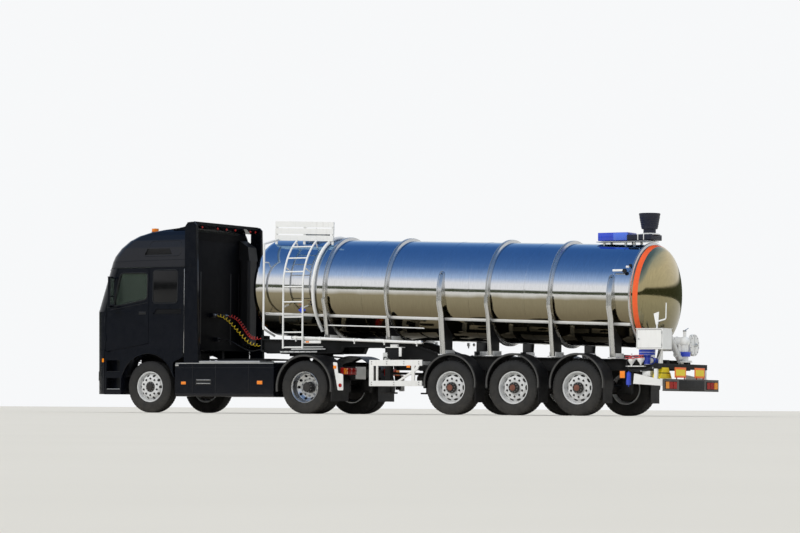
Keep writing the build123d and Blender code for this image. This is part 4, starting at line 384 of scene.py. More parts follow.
SLOT_FINISH = {
    "cab_paint": cab_paint, "chassis_paint": chassis_paint, "white_paint": white_paint,
    "blue_paint": blue_paint, "polished_steel": mirror_steel, "rim_metal": rim_bright, "tyre": rubber,
    "black_plastic": black_plastic, "glass": window_glass, "lamp_red": red_lens, "lamp_clear": clear_lens,
    "seat_cloth": seat_cloth, "yellow_hose": yellow_hose_skin, "red_hose": red_hose_skin,
    "black_cable": black_hose_skin,
}
node_slot = {row["node"]: row["material_slot"] for row in frame["record"]["subparts"]}
NODE_FINISH = {"tractor_lamps": lamp_glass, "trailer_lamps": rear_glass, "rear_bumper": lamp_beam_steel}
for name, cad_object in frame["nodes"].items():
    cad_object.data.materials.clear()
    cad_object.data.materials.append(NODE_FINISH.get(name, SLOT_FINISH[node_slot[name]]))


# Surfaces

def quads(rows, cols, wrap_u, wrap_v):
    """Corner numbers of each cell of a grid of rows by cols points, closed round either way where
    asked."""
    u = np.arange(rows if wrap_u else rows - 1)[:, None]
    v = np.arange(cols if wrap_v else cols - 1)[None, :]
    far_u, far_v = (u + 1) % rows, (v + 1) % cols
    return np.stack([u * cols + v, far_u * cols + v, far_u * cols + far_v, u * cols + far_v],
                    -1).reshape(-1, 4)


MERGE_REACH = 5e-6
TANK_SHARP = 28
TYRE_SHARP = 40


def piece(name, body, skins, replaced=(), slot=None, sharp=35):
    """One object at the origin from (finish, surfaces) pairs. Each surface is (grids, wrap_u, wrap_v),
    where grids has the points of one or many grids. Meeting points are merged and the faces turned
    outwards."""
    points, faces, finishes, count = [], [], [], 0
    for number, (_, surfaces) in enumerate(skins):
        for grids, wrap_u, wrap_v in surfaces:
            grids = np.asarray(grids, dtype=float)
            rows, cols = grids.shape[-3:-1]
            batch = grids.reshape(-1, rows * cols, 3)
            starts = (count + np.arange(len(batch)) * rows * cols)[:, None, None]
            cells = quads(rows, cols, wrap_u, wrap_v)[None] + starts
            points.append(batch.reshape(-1, 3))
            faces.append(cells.reshape(-1, 4))
            finishes.append(np.full(cells.shape[0] * cells.shape[1], number))
            count += batch.shape[0] * rows * cols
    mesh = bpy.data.meshes.new(name)
    mesh.from_pydata(np.concatenate(points).tolist(), [], np.concatenate(faces).tolist())
    mesh.polygons.foreach_set("material_index", np.concatenate(finishes).astype(np.int32))
    for material, _ in skins:
        mesh.materials.append(material)
    shell = bmesh.new()
    shell.from_mesh(mesh)
    bmesh.ops.remove_doubles(shell, verts=shell.verts, dist=MERGE_REACH)
    bmesh.ops.recalc_face_normals(shell, faces=shell.faces)
    shell.to_mesh(mesh)
    shell.free()
    mesh.shade_smooth()
    mesh.set_sharp_from_angle(angle=radians(sharp))
    made = bpy.data.objects.new(name, mesh)
    bpy.context.scene.collection.objects.link(made)
    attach(made, body)
    if replaced:
        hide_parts(*replaced)
    return made


def paired(name, body, skins, **more):
    """A piece whose surfaces are given for the left side and mirrored to the right."""
    return piece(name, body, [(material, both(surfaces)) for material, surfaces in skins], **more)


def moved(grids, places):
    """Copies of a grid, one at each place."""
    return np.asarray(grids)[None] + np.asarray(places, dtype=float).reshape(
        -1, *([1] * np.ndim(grids[..., 0])), 3)


def copies(grids, places):
    """A turned surface in many copies."""
    return (moved(grids, places), False, True)


def mirrored(grids):
    """The same surface on the lorry's other side."""
    return np.asarray(grids) * np.array([1.0, -1.0, 1.0])


def on_side(surfaces, side):
    """Surfaces of the left side, or their mirror images for the right side."""
    if side < 0:
        return surfaces
    return [(mirrored(grids), wrap_u, wrap_v) for grids, wrap_u, wrap_v in surfaces]


def both(surfaces):
    """Surfaces of the left side with their mirror images."""
    return surfaces + on_side(surfaces, 1)


def capped(loops):
    """Loops in a row, each end closed by a row in which every point is the end loop's middle."""
    ends = [np.repeat(loops[k].mean(axis=0)[None, None], loops.shape[1], axis=1) for k in (0, -1)]
    return (np.concatenate([ends[0], loops, ends[1]]), False, True)


def turned(grids, axis, angle):
    """A surface turned about a coordinate axis at the origin: cosines and sines of the angle mix the two
    other coordinates."""
    grids = np.asarray(grids, dtype=float)
    first, second = {"x": (1, 2), "y": (2, 0), "z": (0, 1)}[axis]
    out = grids.copy()
    out[..., first] = grids[..., first] * cos(angle) - grids[..., second] * sin(angle)
    out[..., second] = grids[..., first] * sin(angle) + grids[..., second] * cos(angle)
    return out


def lathe(profile, sides=64, start=0.0):
    """Profile of (radius, height) points turned about Z: x = r cos a, y = r sin a, z = h."""
    profile = np.asarray(profile, dtype=float)
    angle = start + np.arange(sides) * 2 * pi / sides
    return np.stack([profile[:, :1] * np.cos(angle), profile[:, :1] * np.sin(angle),
                     profile[:, 1:] + 0 * angle], -1)


def solid_lathe(profile, sides=64, start=0.0):
    """Turned surface whose profile begins and ends on the axis."""
    return (lathe(profile, sides, start), False, True)


def ring_lathe(profile, sides=64, start=0.0):
    """Turned surface of a closed profile loop."""
    return (lathe(profile, sides, start), True, True)


def blocks(rows, edge=0.006, steps=2):
    """Blocks with rounded edges from rows of x0, x1, y0, y1, z0, z1. A point of the unit sphere at
    longitude u and latitude v, times the edge radius, is moved to the nearest inner corner. Rows at the
    middles close the ends."""
    rows = np.asarray(rows, dtype=float).reshape(-1, 6)
    quarter = np.linspace(0, pi / 2, steps + 1)
    longitude = np.concatenate([quarter + k * pi / 2 for k in range(4)])
    sign_x = np.repeat([1, -1, -1, 1], steps + 1)
    sign_y = np.repeat([1, 1, -1, -1], steps + 1)
    latitude = np.concatenate([quarter - pi / 2, quarter])
    sign_z = np.repeat([-1, 1], steps + 1)
    half = (rows[:, 1::2] - rows[:, 0::2]) / 2
    centre = (rows[:, 1::2] + rows[:, 0::2]) / 2
    radius = np.minimum(edge, 0.49 * half.min(axis=1))[:, None, None]
    inner = half[:, None, None, :] - radius[..., None]
    ball = np.stack([np.cos(latitude)[:, None] * np.cos(longitude),
                     np.cos(latitude)[:, None] * np.sin(longitude),
                     np.sin(latitude)[:, None] + 0 * longitude], -1)
    corner = np.stack([sign_x + 0 * sign_z[:, None], sign_y + 0 * sign_z[:, None],
                       sign_z[:, None] + 0 * sign_x], -1)
    skin = centre[:, None, None, :] + corner[None] * inner + radius[..., None] * ball[None]
    flat = np.zeros((len(rows), 1, len(longitude), 3)) + centre[:, None, None, :]
    low, high = flat.copy(), flat.copy()
    low[..., 2] = rows[:, 4][:, None, None]
    high[..., 2] = rows[:, 5][:, None, None]
    return (np.concatenate([low, skin, high], axis=1), False, True)


def tube(path, radius, sides=12, reference=(0, 1, 0), closed=False):
    """Round tube along a path. The section's two directions are the reference direction crossed with the
    path's run, and the run crossed with that. The ends close on their middles."""
    path = np.asarray(path, dtype=float)
    run = np.roll(path, -1, 0) - np.roll(path, 1, 0) if closed else np.gradient(path, axis=0)
    run /= np.linalg.norm(run, axis=1)[:, None]
    across = np.cross(np.asarray(reference, dtype=float), run)
    across /= np.linalg.norm(across, axis=1)[:, None]
    up = np.cross(run, across)
    angle = np.arange(sides) * 2 * pi / sides
    radius = np.broadcast_to(np.asarray(radius, dtype=float), (len(path),))[:, None, None]
    skin = path[:, None] + radius * (across[:, None] * np.cos(angle)[:, None]
                                     + up[:, None] * np.sin(angle)[:, None])
    if closed:
        return (skin, True, True)
    ends = [np.repeat(path[k][None, None], sides, axis=1) for k in (0, -1)]
    return (np.concatenate([ends[0], skin, ends[1]]), False, True)


def rounded_path(corners, radius, steps=5, closed=False):
    """Path through corners that are each cut by a smooth bend: a curve of second degree from one side to
    the other."""
    corners = np.asarray(corners, dtype=float)
    before, after = np.roll(corners, 1, 0), np.roll(corners, -1, 0)
    back, ahead = before - corners, after - corners
    reach_back = np.minimum(radius, 0.45 * np.linalg.norm(back, axis=1))[:, None]
    reach_ahead = np.minimum(radius, 0.45 * np.linalg.norm(ahead, axis=1))[:, None]
    start = corners + back / np.linalg.norm(back, axis=1)[:, None] * reach_back
    end = corners + ahead / np.linalg.norm(ahead, axis=1)[:, None] * reach_ahead
    t = np.linspace(0, 1, steps)[None, :, None]
    bend = (1 - t) ** 2 * start[:, None] + 2 * t * (1 - t) * corners[:, None] + t ** 2 * end[:, None]
    if closed:
        return bend.reshape(-1, corners.shape[-1])
    return np.concatenate([corners[:1], bend[1:-1].reshape(-1, corners.shape[-1]), corners[-1:]])


def prism(outline, low, high, axis):
    """Outline of points in the plane across an axis, thick from low to high along it. A middle point
    closes each end."""
    outline = np.asarray(outline, dtype=float)
    middle = np.repeat(outline.mean(axis=0)[None], len(outline), axis=0)
    flat = np.stack([middle, outline, outline, middle])
    level = np.repeat(np.array([low, low, high, high], dtype=float)[:, None], len(outline), axis=1)
    order = {"x": (level, flat[..., 0], flat[..., 1]), "y": (flat[..., 0], level, flat[..., 1]),
             "z": (flat[..., 0], flat[..., 1], level)}[axis]
    return (np.stack(order, -1), False, True)


# Hoses between the cab and the trailer

# Control points of the three routes, the same as in the part's source
YELLOW_ROUTE = [(-4.064, -0.29, 1.99), (-3.93, -0.29, 1.99), (-3.735, -0.294, 1.91),
                (-3.467, -0.308, 1.661), (-3.199, -0.324, 1.411), (-2.979, -0.33, 1.365),
                (-2.845, -0.33, 1.365)]
RED_ROUTE = [(-4.064, 0.13, 1.99), (-3.93, 0.13, 1.99), (-3.735, 0.084, 1.924), (-3.467, -0.077, 1.723),
             (-3.199, -0.261, 1.527), (-2.979, -0.33, 1.505), (-2.845, -0.33, 1.505)]
CABLE_ROUTE = [(-4.064, -0.12, 1.5), (-3.93, -0.12, 1.5), (-3.735, -0.133, 1.452), (-3.467, -0.179, 1.327),
               (-3.199, -0.231, 1.236), (-2.979, -0.25, 1.29), (-2.845, -0.25, 1.29)]
COIL_DIAMETER = 0.07
STRAND_DIAMETER = 0.012
COIL_TURNS = 14
CABLE_DIAMETER = 0.026
ROUTE_POINTS = 2000
POINTS_PER_TURN = 14
END_POINTS = 9


def smooth_spline(curve, points):
    """Adds a smooth line of the third order with these control points, which begins and ends at its outer
    points."""
    spline = curve.splines.new("NURBS")
    spline.points.add(len(points) - 1)
    spline.points.foreach_set("co", np.c_[np.asarray(points), np.ones(len(points))].ravel())
    spline.order_u = 3
    spline.use_endpoint_u = True


def line_through(points):
    """Closely spaced points of the smooth line with these control points, evenly spaced by length, and
    its length."""
    curve = bpy.data.curves.new("route", "CURVE")
    curve.dimensions = "3D"
    curve.resolution_u = 32
    smooth_spline(curve, points)
    holder = bpy.data.objects.new("route", curve)
    mesh = bpy.data.meshes.new_from_object(holder)
    line = np.empty(3 * len(mesh.vertices))
    mesh.vertices.foreach_get("co", line)
    line = line.reshape(-1, 3)
    bpy.data.objects.remove(holder)
    bpy.data.curves.remove(curve)
    bpy.data.meshes.remove(mesh)
    length = np.concatenate([[0], np.cumsum(np.linalg.norm(np.diff(line, axis=0), axis=1))])
    even = np.linspace(0, length[-1], ROUTE_POINTS)
    return np.stack([np.interp(even, length, line[:, k]) for k in range(3)], -1), length[-1]


def cord_curve(name, points, diameter, material):
    """Round cord along a smooth line with the given control points."""
    curve = bpy.data.curves.new(name, "CURVE")
    curve.dimensions = "3D"
    curve.resolution_u = 3
    curve.bevel_depth = diameter / 2
    curve.bevel_resolution = 3
    curve.use_fill_caps = True
    smooth_spline(curve, points)
    curve.materials.append(material)
    cord = bpy.data.objects.new(name, curve)
    bpy.context.scene.collection.objects.link(cord)
    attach(cord, "tractor")
    return cord


def coil_points(route, turns):
    """A helix about a route: the route's point plus the coil's radius times the cosine and sine of an
    almost evenly growing angle along two directions across it. The radius grows from nothing and falls
    back over each straight end."""
    line, _ = line_through(route)
    run = np.gradient(line, axis=0)
    run /= np.linalg.norm(run, axis=1)[:, None]
    side = np.cross([0.0, 1.0, 0.0], run)
    side /= np.linalg.norm(side, axis=1)[:, None]
    up = np.cross(run, side)
    place = np.linspace(0, 1, len(line))
    tail = 0.085
    begin = 0.55 * tail
    ramp = 0.45 * tail + 0.02
    lean = 0.012
    inside = np.clip((place - tail) / (1 - 2 * tail), 0, 1)
    angle = 2 * pi * turns * (inside + lean * np.sin(2 * pi * inside))
    rise = np.clip(np.minimum(place - begin, 1 - begin - place) / ramp, 0, 1)
    radius = (COIL_DIAMETER - STRAND_DIAMETER) / 2 * rise ** 2 * (3 - 2 * rise)
    spiral = line + radius[:, None] * (np.cos(angle)[:, None] * side + np.sin(angle)[:, None] * up)
    wound = tail + (1 - 2 * tail) * np.linspace(0, 1, POINTS_PER_TURN * turns)
    steps = np.concatenate([np.linspace(0, tail, END_POINTS)[:-1], wound,
                            np.linspace(1 - tail, 1, END_POINTS)[1:]])
    return np.stack([np.interp(steps, place, spiral[:, k]) for k in range(3)], -1)


def coupling(name, end, run, material):
    """Hose coupling: a profile turned about the hose's end, with a grip, a collar and a swivel ring."""
    profile = [(0, 0), (0.019, 0), (0.021, 0.003), (0.021, 0.012), (0.017, 0.015), (0.017, 0.02),
               (0.023, 0.023), (0.023, 0.04), (0.019, 0.044), (0.013, 0.052), (0.013, 0.066),
               (0.0125, 0.075), (0, 0.075)]
    grid = turned(lathe(profile, 20), "y", pi / 2 if run > 0 else -pi / 2)
    return piece(name, "tractor", [(material, [(grid + np.asarray(end), False, True)])])


hose_steel = finish("hose_steel", (0.55, 0.55, 0.55), rough=0.3, metal=1.0, mottle=0.2)
hose_red_grip = finish("hose_red_grip", (0.55, 0.05, 0.06), rough=0.4, mottle=0.2)

for name, route, material, grip in (("yellow_coil", YELLOW_ROUTE, yellow_hose_skin, hose_steel),
                                    ("red_coil", RED_ROUTE, red_hose_skin, hose_red_grip)):
    points = coil_points(route, COIL_TURNS)
    hose = cord_curve(name + "_hose", points, STRAND_DIAMETER, material)
    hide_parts(name)
    ends = [coupling(name + "_cab_coupling", route[0], 1, hose_steel),
            coupling(name + "_trailer_coupling", route[-1], -1, grip)]
    _, length = line_through(points)

cable = cord_curve("power_cable_skin", CABLE_ROUTE, CABLE_DIAMETER, black_hose_skin)
cable.data.resolution_u = 16
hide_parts("power_cable")
cable_ends = [coupling("cable_cab_coupling", CABLE_ROUTE[0], 1, black_plastic),
              coupling("cable_trailer_coupling", CABLE_ROUTE[-1], -1, black_plastic)]
_, cable_length = line_through(CABLE_ROUTE)


# Tank

def along_tank(grids, x):
    """A surface drawn about the X axis at the origin, put on the tank's axis at x and tilted with it."""
    return turned(grids, "y", TANK_TILT) + np.array([x, 0, axis_z(x)])


def about_x(profile, sides):
    """Profile of (place along X, radius) turned about the X axis: y = -r cos a, z = r sin a."""
    profile = np.asarray(profile, dtype=float)
    angle = np.arange(sides) * 2 * pi / sides
    return np.stack([profile[:, :1] + 0 * angle, -profile[:, 1:] * np.cos(angle),
                     profile[:, 1:] * np.sin(angle)], -1)


KNUCKLE_SHARE = 0.24


def round_tank(profile, sides, loop=True):
    """Profile turned about the tank's axis. Its places count from the first middle ring."""
    return (along_tank(about_x(profile, sides), RING_A_X), loop, True)


def head_profile(depth, radius):
    """Dished end from its middle to its seam: a large crown arc, then a knuckle arc."""
    knuckle = KNUCKLE_SHARE * radius
    reach = radius - knuckle
    crown = (reach ** 2 + depth ** 2 - knuckle ** 2) / (2 * (depth - knuckle))
    angle = np.arctan2(reach, crown - depth)
    first = np.linspace(0, angle, 26)
    second = np.linspace(angle, pi / 2, 12)[1:]
    far = np.concatenate([depth - crown + crown * np.cos(first), knuckle * np.cos(second)])
    return far, np.concatenate([crown * np.sin(first), reach + knuckle * np.sin(second)])


def axis_place(x):
    """Place along the tank's tilted axis, measured from its first middle ring, of a place along the
    lorry."""
    return (x - RING_A_X) / cos(TANK_TILT)


BARREL_FRONT = axis_place(FRONT_SEAM_X)
BARREL_REAR = axis_place(REAR_SEAM_X)
RIM_RING_WIDTH = 0.062
PIPE_RING = 0.638
BOW_X = axis_place(KINGPIN_X + PIPE_RING)
WELD_STATIONS = [0.15, 1.72, 3.5, 4.1, 5.3, 7.13]
WELD_RISE = 0.0025
SHELL_SIDES = 224
RING_SIDES = 192
STRIP_SIDES = 160
RAIL_TURN = radians(34)


def tank_profile():
    """The shell's outline from the front pole to the rear pole: dished ends and a barrel with welds a
    little proud."""
    far, radius = head_profile(FRONT_HEAD_DEPTH, TANK_RADIUS)
    front = np.stack([BARREL_FRONT - far, radius], -1)
    far, radius = head_profile(REAR_HEAD_DEPTH, TANK_RADIUS)
    rear = np.stack([BARREL_REAR + far, radius], -1)[::-1]
    weld = [(-0.007, 0), (-0.003, WELD_RISE), (0.003, WELD_RISE), (0.007, 0)]
    middle = [(axis_place(KINGPIN_X + station) + place, TANK_RADIUS + rise) for station in WELD_STATIONS
              for place, rise in weld]
    return np.concatenate([front, middle, rear])


def hat_ring(station):
    """Stiffening ring as a closed loop turned about the axis: sloped flanks, two ribs and a shallow
    channel between."""
    half = [(-0.046, -0.05), (-0.046, 0.03), (-0.036, 0.45), (-0.03, 0.92), (-0.024, 1), (-0.012, 1),
            (-0.006, 0.8)]
    shares = np.array(half + [(-place, share) for place, share in half[::-1]])
    loop = shares * [1, RING_RADIUS - TANK_RADIUS] + [0, TANK_RADIUS]
    return round_tank(loop + [axis_place(KINGPIN_X + station), 0], RING_SIDES)


def rail_strip(side):
    """Flat rail along the shell's flank, turned 34 degrees below the axis."""
    grids, wrap_u, wrap_v = blocks([(BARREL_FRONT + 0.08, BARREL_REAR - RIM_RING_WIDTH,
                                     -TANK_RADIUS - 0.024, -TANK_RADIUS + 0.008, -0.026, 0.026)],
                                   edge=0.006)
    grids = turned(grids, "x", RAIL_TURN)
    return (along_tank(grids if side < 0 else mirrored(grids), RING_A_X), wrap_u, wrap_v)


LID_X = KINGPIN_X + 0.09
LID_TOP = axis_z(LID_X) + TANK_RADIUS


def on_top(grids):
    """A surface drawn about the lid's middle, put on top of the shell and tilted with it."""
    return turned(grids, "y", TANK_TILT) + np.array([LID_X, 0, LID_TOP])


collar = [(0, -0.1), (0.238, -0.1), (0.238, 0.07), (0.246, 0.074), (0.246, 0.094), (0.238, 0.098),
          (0.238, 0.117), (0.234, 0.12), (0, 0.12)]
lid_lugs = []
for side in (-1, 1):
    y0, y1 = sorted((side * 0.041, side * 0.057))
    lid_lugs += [(0.19, 0.288, y0, y1, 0.06, 0.112), (0.256, 0.288, y0, y1, 0.09, 0.158)]
lug_grids, lug_u, lug_v = blocks(lid_lugs, edge=0.004)
piece("polished_shell", "trailer", [
    (mirror_steel, [round_tank(tank_profile(), SHELL_SIDES, loop=False)]),
    (brushed_steel, [(on_top(lathe(collar, 64)), False, True), (on_top(lug_grids), lug_u, lug_v)]),
    (white_paint, [rail_strip(-1), rail_strip(1)]),
], replaced=["tank_shell"], slot="polished_steel", sharp=TANK_SHARP)
hat_rings = [hat_ring(station) for station in RING_STATIONS if station != PIPE_RING]
piece("stiffening_rings", "trailer", [(brushed_steel, hat_rings)], sharp=TANK_SHARP)

rim_ring = [(-0.062, 0.972), (-0.05, 1.012), (-0.045, 1.018), (-0.04, 1.02), (-0.022, 1.02),
            (-0.015, 1.017), (-0.006, 0.99), (0.0, 0.9765), (0.0, 0.972)]
far, radius = head_profile(REAR_HEAD_DEPTH + 0.0015, TANK_RADIUS + 0.0015)
knuckle_far, knuckle_radius = far[-6:-1], radius[-6:-1]
strip = np.concatenate([np.stack([knuckle_far, knuckle_radius], -1),
                        np.stack([knuckle_far - 0.004, knuckle_radius - 0.004], -1)[::-1]])
piece("rear_rim_ring", "trailer",
      [(brushed_steel, [round_tank(np.array(rim_ring) + [BARREL_REAR, 0], RING_SIDES)])], sharp=TANK_SHARP)
piece("rear_orange_strip", "trailer", [(orange_tape, [round_tank(strip + [BARREL_REAR, 0], STRIP_SIDES)])])


def ring_pipe():
    """Vent pipe that follows the shell over its top: a circle about the axis, then a straight drop at
    each end."""
    reach = TANK_RADIUS + 0.036
    angle = np.radians(np.linspace(-38, 218, 90))
    bow = np.stack([BOW_X + 0 * angle, -reach * np.cos(angle), reach * np.sin(angle)], -1)
    fall = bow[0] + np.array([[0.02, 0.05, -0.1], [0.06, 0.12, -0.24]])
    path = np.concatenate([fall[::-1], bow, fall * [1, -1, 1]])
    return along_tank(tube(path, 0.0355, 16, (1, 0, 0))[0], RING_A_X)


clip_angle = np.radians([-30, 5, 40, 75, 105, 140, 175, 210])
clip = blocks([(BOW_X - 0.022, BOW_X + 0.022, -TANK_RADIUS - 0.052, -TANK_RADIUS + 0.01, -0.024, 0.024)],
              edge=0.004)
clips = np.concatenate([turned(clip[0], "x", -float(a)) for a in clip_angle])
piece("ring_vent_pipe", "trailer", [(white_paint, [(ring_pipe(), False, True)]),
                                    (brushed_steel, [(along_tank(clips, RING_A_X), clip[1], clip[2])])])


# Wheels

def on_axle(grids, x, y, side):
    """A wheel's surface about Z, outboard side up, put on its axle with that side away from the lorry."""
    return turned(grids, "x", pi / 2 if side < 0 else -pi / 2) + np.array([x, side * y, TYRE_RADIUS])


NOTCH_DEPTH = 0.0085
MIDDLE_RIB_SHARE = 0.35


def tyre_surface(width, blocks_round):
    """Tyre about Z. Its section is a closed loop from bead to bead: radius and height are tabled for the
    sidewall, and the tread has four grooves 12 mm deep. Round the wheel the shoulder ribs are cut by
    notches and the middle ribs by shallow slits: the radius falls by the product of a rib's share and the
    angle's share. Near the middle the two sides' slits are turned apart."""
    half = width / 2
    side = [(0.2922, 0.715), (0.296, 0.745), (0.305, 0.775), (0.318, 0.845), (0.33, 0.905), (0.336, 0.935),
            (0.341, 0.96), (0.347, 0.963), (0.352, 0.974), (0.385, 0.995), (0.42, 1.0), (0.448, 0.99),
            (0.452, 0.976), (0.458, 0.975), (0.474, 0.955), (0.49, 0.918), (0.502, 0.878)]
    crown = 0.8 * half
    rows = [(r, z * half, 0.0) for r, z in side[:-2]]
    rows += [(0.491, 0.916 * half, 0.5), (0.504, 0.872 * half, 1.0), (0.514, 0.835 * half, 1.0),
             (0.5195, 0.8 * half, 1.0)]
    for groove, outer_share in ((0.6 * crown, 1.0), (0.205 * crown, MIDDLE_RIB_SHARE)):
        rows += [(0.5212, groove + 0.0075, outer_share), (0.509, groove + 0.0045, 0.0),
                 (0.509, groove - 0.0045, 0.0), (0.5215, groove - 0.0075, MIDDLE_RIB_SHARE)]
    rows = np.array(rows)
    other = rows[::-1] * [1, -1, 1]
    loop = np.concatenate([rows, other])
    pitch = 2 * pi / blocks_round
    angle = (np.arange(blocks_round)[:, None] * pitch + np.array([0.0, 0.7, 0.76, 0.94]) * pitch).ravel()
    notch = np.tile([0.0, 0.0, 1.0, 1.0], blocks_round)
    radius = loop[:, :1] - NOTCH_DEPTH * loop[:, 2:] * notch
    stagger = 0.35 * pitch * np.sign(loop[:, 1:2]) * (np.abs(loop[:, 1:2]) < 0.45 * half)
    turn = angle[None] + stagger
    return np.stack([radius * np.cos(turn), radius * np.sin(turn), loop[:, 1:2] + 0 * turn], -1)


def barrel(tyre_width):
    """Rim barrel as a closed loop: outer flanges, bead seats and the drop centre seen from outside."""
    half = tyre_width / 2
    bead = 0.74 * half + 0.0003
    lip = 0.3097
    return ring_lathe([(lip - 0.005, bead + 0.014), (lip - 0.001, bead + 0.011), (lip, bead + 0.006),
                       (lip, bead + 0.0003), (0.2917, bead), (0.2917, -bead), (lip, -bead),
                       (lip, -bead - 0.01), (lip - 0.005, -bead - 0.014), (0.29, -bead - 0.014),
                       (0.281, -bead - 0.004), (0.279, -bead + 0.02), (0.268, -bead + 0.045),
                       (0.264, -0.2 * half), (0.264, 0.15 * half), (0.269, 0.3 * half),
                       (0.276, 0.38 * half), (0.278, 0.6 * half), (0.282, bead - 0.014),
                       (0.285, bead - 0.002), (0.292, bead + 0.008), (0.3, bead + 0.014)], 96)


BOLT_CIRCLE = 0.168
BOLTS = 10
DISC_INNER = 0.098
DISC_OUTER = 0.2655
DISC_THICK = 0.013
DISC_BEVEL = 0.004
HOLES = 10
HOLE_CELLS = 6


def wheel_disc(height, rim_z, hole_at=0.23, hole_depth=0.027, hole_width=0.029):
    """Wheel disc with a ring of oval holes, as ten equal sectors. In each, a point lies a share v of the
    way from the sector's border, a rectangle in radius and angle, to the hole's edge, at angle u. The
    height changes along an S-curve from the bolt face to the rim. The front, the hole's wall and the back
    are one surface, and bands close both edges."""
    half_angle = pi / HOLES
    step = np.linspace(-1, 1, HOLE_CELLS + 1)[:-1]
    square = np.concatenate([np.stack([1 + 0 * step, step], -1), np.stack([-step, 1 + 0 * step], -1),
                             np.stack([-1 + 0 * step, -step], -1), np.stack([step, -1 + 0 * step], -1)])
    way = np.arctan2(square[:, 1], square[:, 0])
    middle, reach = (DISC_INNER + DISC_OUTER) / 2, (DISC_OUTER - DISC_INNER) / 2
    border_r, border_a = middle + reach * square[:, 0], half_angle * square[:, 1]
    hole_r, hole_a = hole_at + hole_depth * np.cos(way), hole_width * np.sin(way) / hole_at
    v = np.linspace(0, 1, 7)[:, None]
    radius, angle = border_r * (1 - v) + hole_r * v, border_a * (1 - v) + hole_a * v

    def level(r):
        """Height of the disc's front at a radius."""
        t = np.clip((r - BOLT_CIRCLE - 0.03) / (DISC_OUTER - BOLT_CIRCLE - 0.03), 0, 1)
        return height + (rim_z - height) * t * t * (3 - 2 * t)

    front = level(radius) - DISC_BEVEL * np.clip(1 - (radius - DISC_INNER) / 0.02, 0, 1)
    back = level(radius) - DISC_THICK
    rows_r, rows_a = np.concatenate([radius, radius[::-1]]), np.concatenate([angle, angle[::-1]])
    rows_z = np.concatenate([front, back[::-1]])
    turn = rows_a[None] + (np.arange(HOLES) * 2 * half_angle)[:, None, None]
    sectors = np.stack([rows_r[None] * np.cos(turn), rows_r[None] * np.sin(turn), rows_z[None] + 0 * turn],
                       -1)
    edges = ((DISC_OUTER, 0.0), (DISC_INNER, DISC_BEVEL))
    bands = [(lathe([(r, level(r) - bevel), (r, level(r) - DISC_THICK)], HOLES * HOLE_CELLS, -half_angle),
              False, True) for r, bevel in edges]
    return [(sectors, False, True)] + bands


def round_places(radius, count, height, offset=0.0):
    """Places evenly round a circle about Z."""
    angle = (np.arange(count) + offset) * 2 * pi / count
    return np.stack([radius * np.cos(angle), radius * np.sin(angle), height + 0 * angle], -1)


def wheel_nuts(height):
    """Six-sided nuts with flange and stud on the bolt circle."""
    nut = lathe([(0, 0.018), (0.0135, 0.018), (0.0165, 0.015), (0.0165, 0.001)], 6)
    flange = lathe([(0, 0.004), (0.019, 0.004), (0.021, 0.002), (0.021, -0.002), (0, -0.002)], 12)
    stud = lathe([(0, 0.034), (0.008, 0.034), (0.01, 0.032), (0.01, 0.01), (0, 0.01)], 10)
    places = round_places(BOLT_CIRCLE, BOLTS, height, 0.5)
    closed = np.concatenate([nut, nut[-1:] * [0, 0, 1]])
    return [copies(grid, places) for grid in (closed, flange, stud)]


def hub_cap(inner, bolt_face, top, cap_radius):
    """Hub: brake side, barrel, flange and a capped end, with a ring of small cap bolts."""
    body = solid_lathe([(0, inner), (0.15, inner), (0.15, inner + 0.04), (0.105, inner + 0.06),
                        (0.105, bolt_face + 0.004), (0.103, top - 0.045), (0.098, top - 0.034),
                        (cap_radius + 0.004, top - 0.028), (cap_radius + 0.004, top - 0.012),
                        (cap_radius, top - 0.006), (0.6 * cap_radius, top), (0, top)], 64)
    bolt = lathe([(0, 0.008), (0.006, 0.008), (0.0075, 0.006), (0.0075, -0.004), (0, -0.004)], 6)
    return body, copies(bolt, round_places((cap_radius + 0.105) / 2 + 0.002, BOLTS, top - 0.031, 0.25))


def brake_drum(inner, face):
    """Drum behind the disc: a closed can whose edge is ribbed, seen dark through the hand holes."""
    return solid_lathe([(0, inner), (0.235, inner), (0.247, inner + 0.01), (0.247, face - 0.06),
                        (0.24, face - 0.05), (0.24, face - 0.036), (0.225, face - 0.024),
                        (0, face - 0.024)], 64)


def placed(surfaces, x, y, side):
    """Wheel surfaces on their axle."""
    return [(on_axle(grids, x, y, side), wrap_u, wrap_v) for grids, wrap_u, wrap_v in surfaces]


def lifted(surfaces, height):
    """Surfaces raised along Z."""
    return [(np.asarray(grids) + [0, 0, height], wrap_u, wrap_v) for grids, wrap_u, wrap_v in surfaces]


valve_stem = tube([(0.255, 0.03, 0.02), (0.262, 0.032, 0.06), (0.27, 0.034, 0.09)], 0.004, 8)
weights = blocks([(0.2745, 0.2795, -0.022, 0.022, 0.062, 0.078)], edge=0.002)
hub_cover = solid_lathe([(0, 0.1925), (0.04, 0.1925), (0.058, 0.187), (0.06, 0.183), (0, 0.183)], 40)
twin_link = ring_lathe([(0.188, -0.06), (0.188, 0.08), (0.045, 0.08), (0.045, -0.06)], 48)

# Height of each disc's bolt face over the wheel's middle
FRONT_FACE = 0.105
OUTER_TWIN_FACE = -0.07
INNER_TWIN_FACE = 0.105
TRAILER_FACE = 0.095


def wheel(pieces, nodes, body, tyres, metal, x, y, side):
    """The tyre piece and the rim piece of one wheel, drawn about Z, on their axle in place of the two
    nodes."""
    piece(pieces[0], body, [(rubber, placed(tyres, x, y, side))],
          replaced=[nodes[0]], slot="tyre", sharp=TYRE_SHARP)
    piece(pieces[1], body, [(material, placed(surfaces, x, y, side)) for material, surfaces in metal],
          replaced=[nodes[1]], slot="rim_metal")


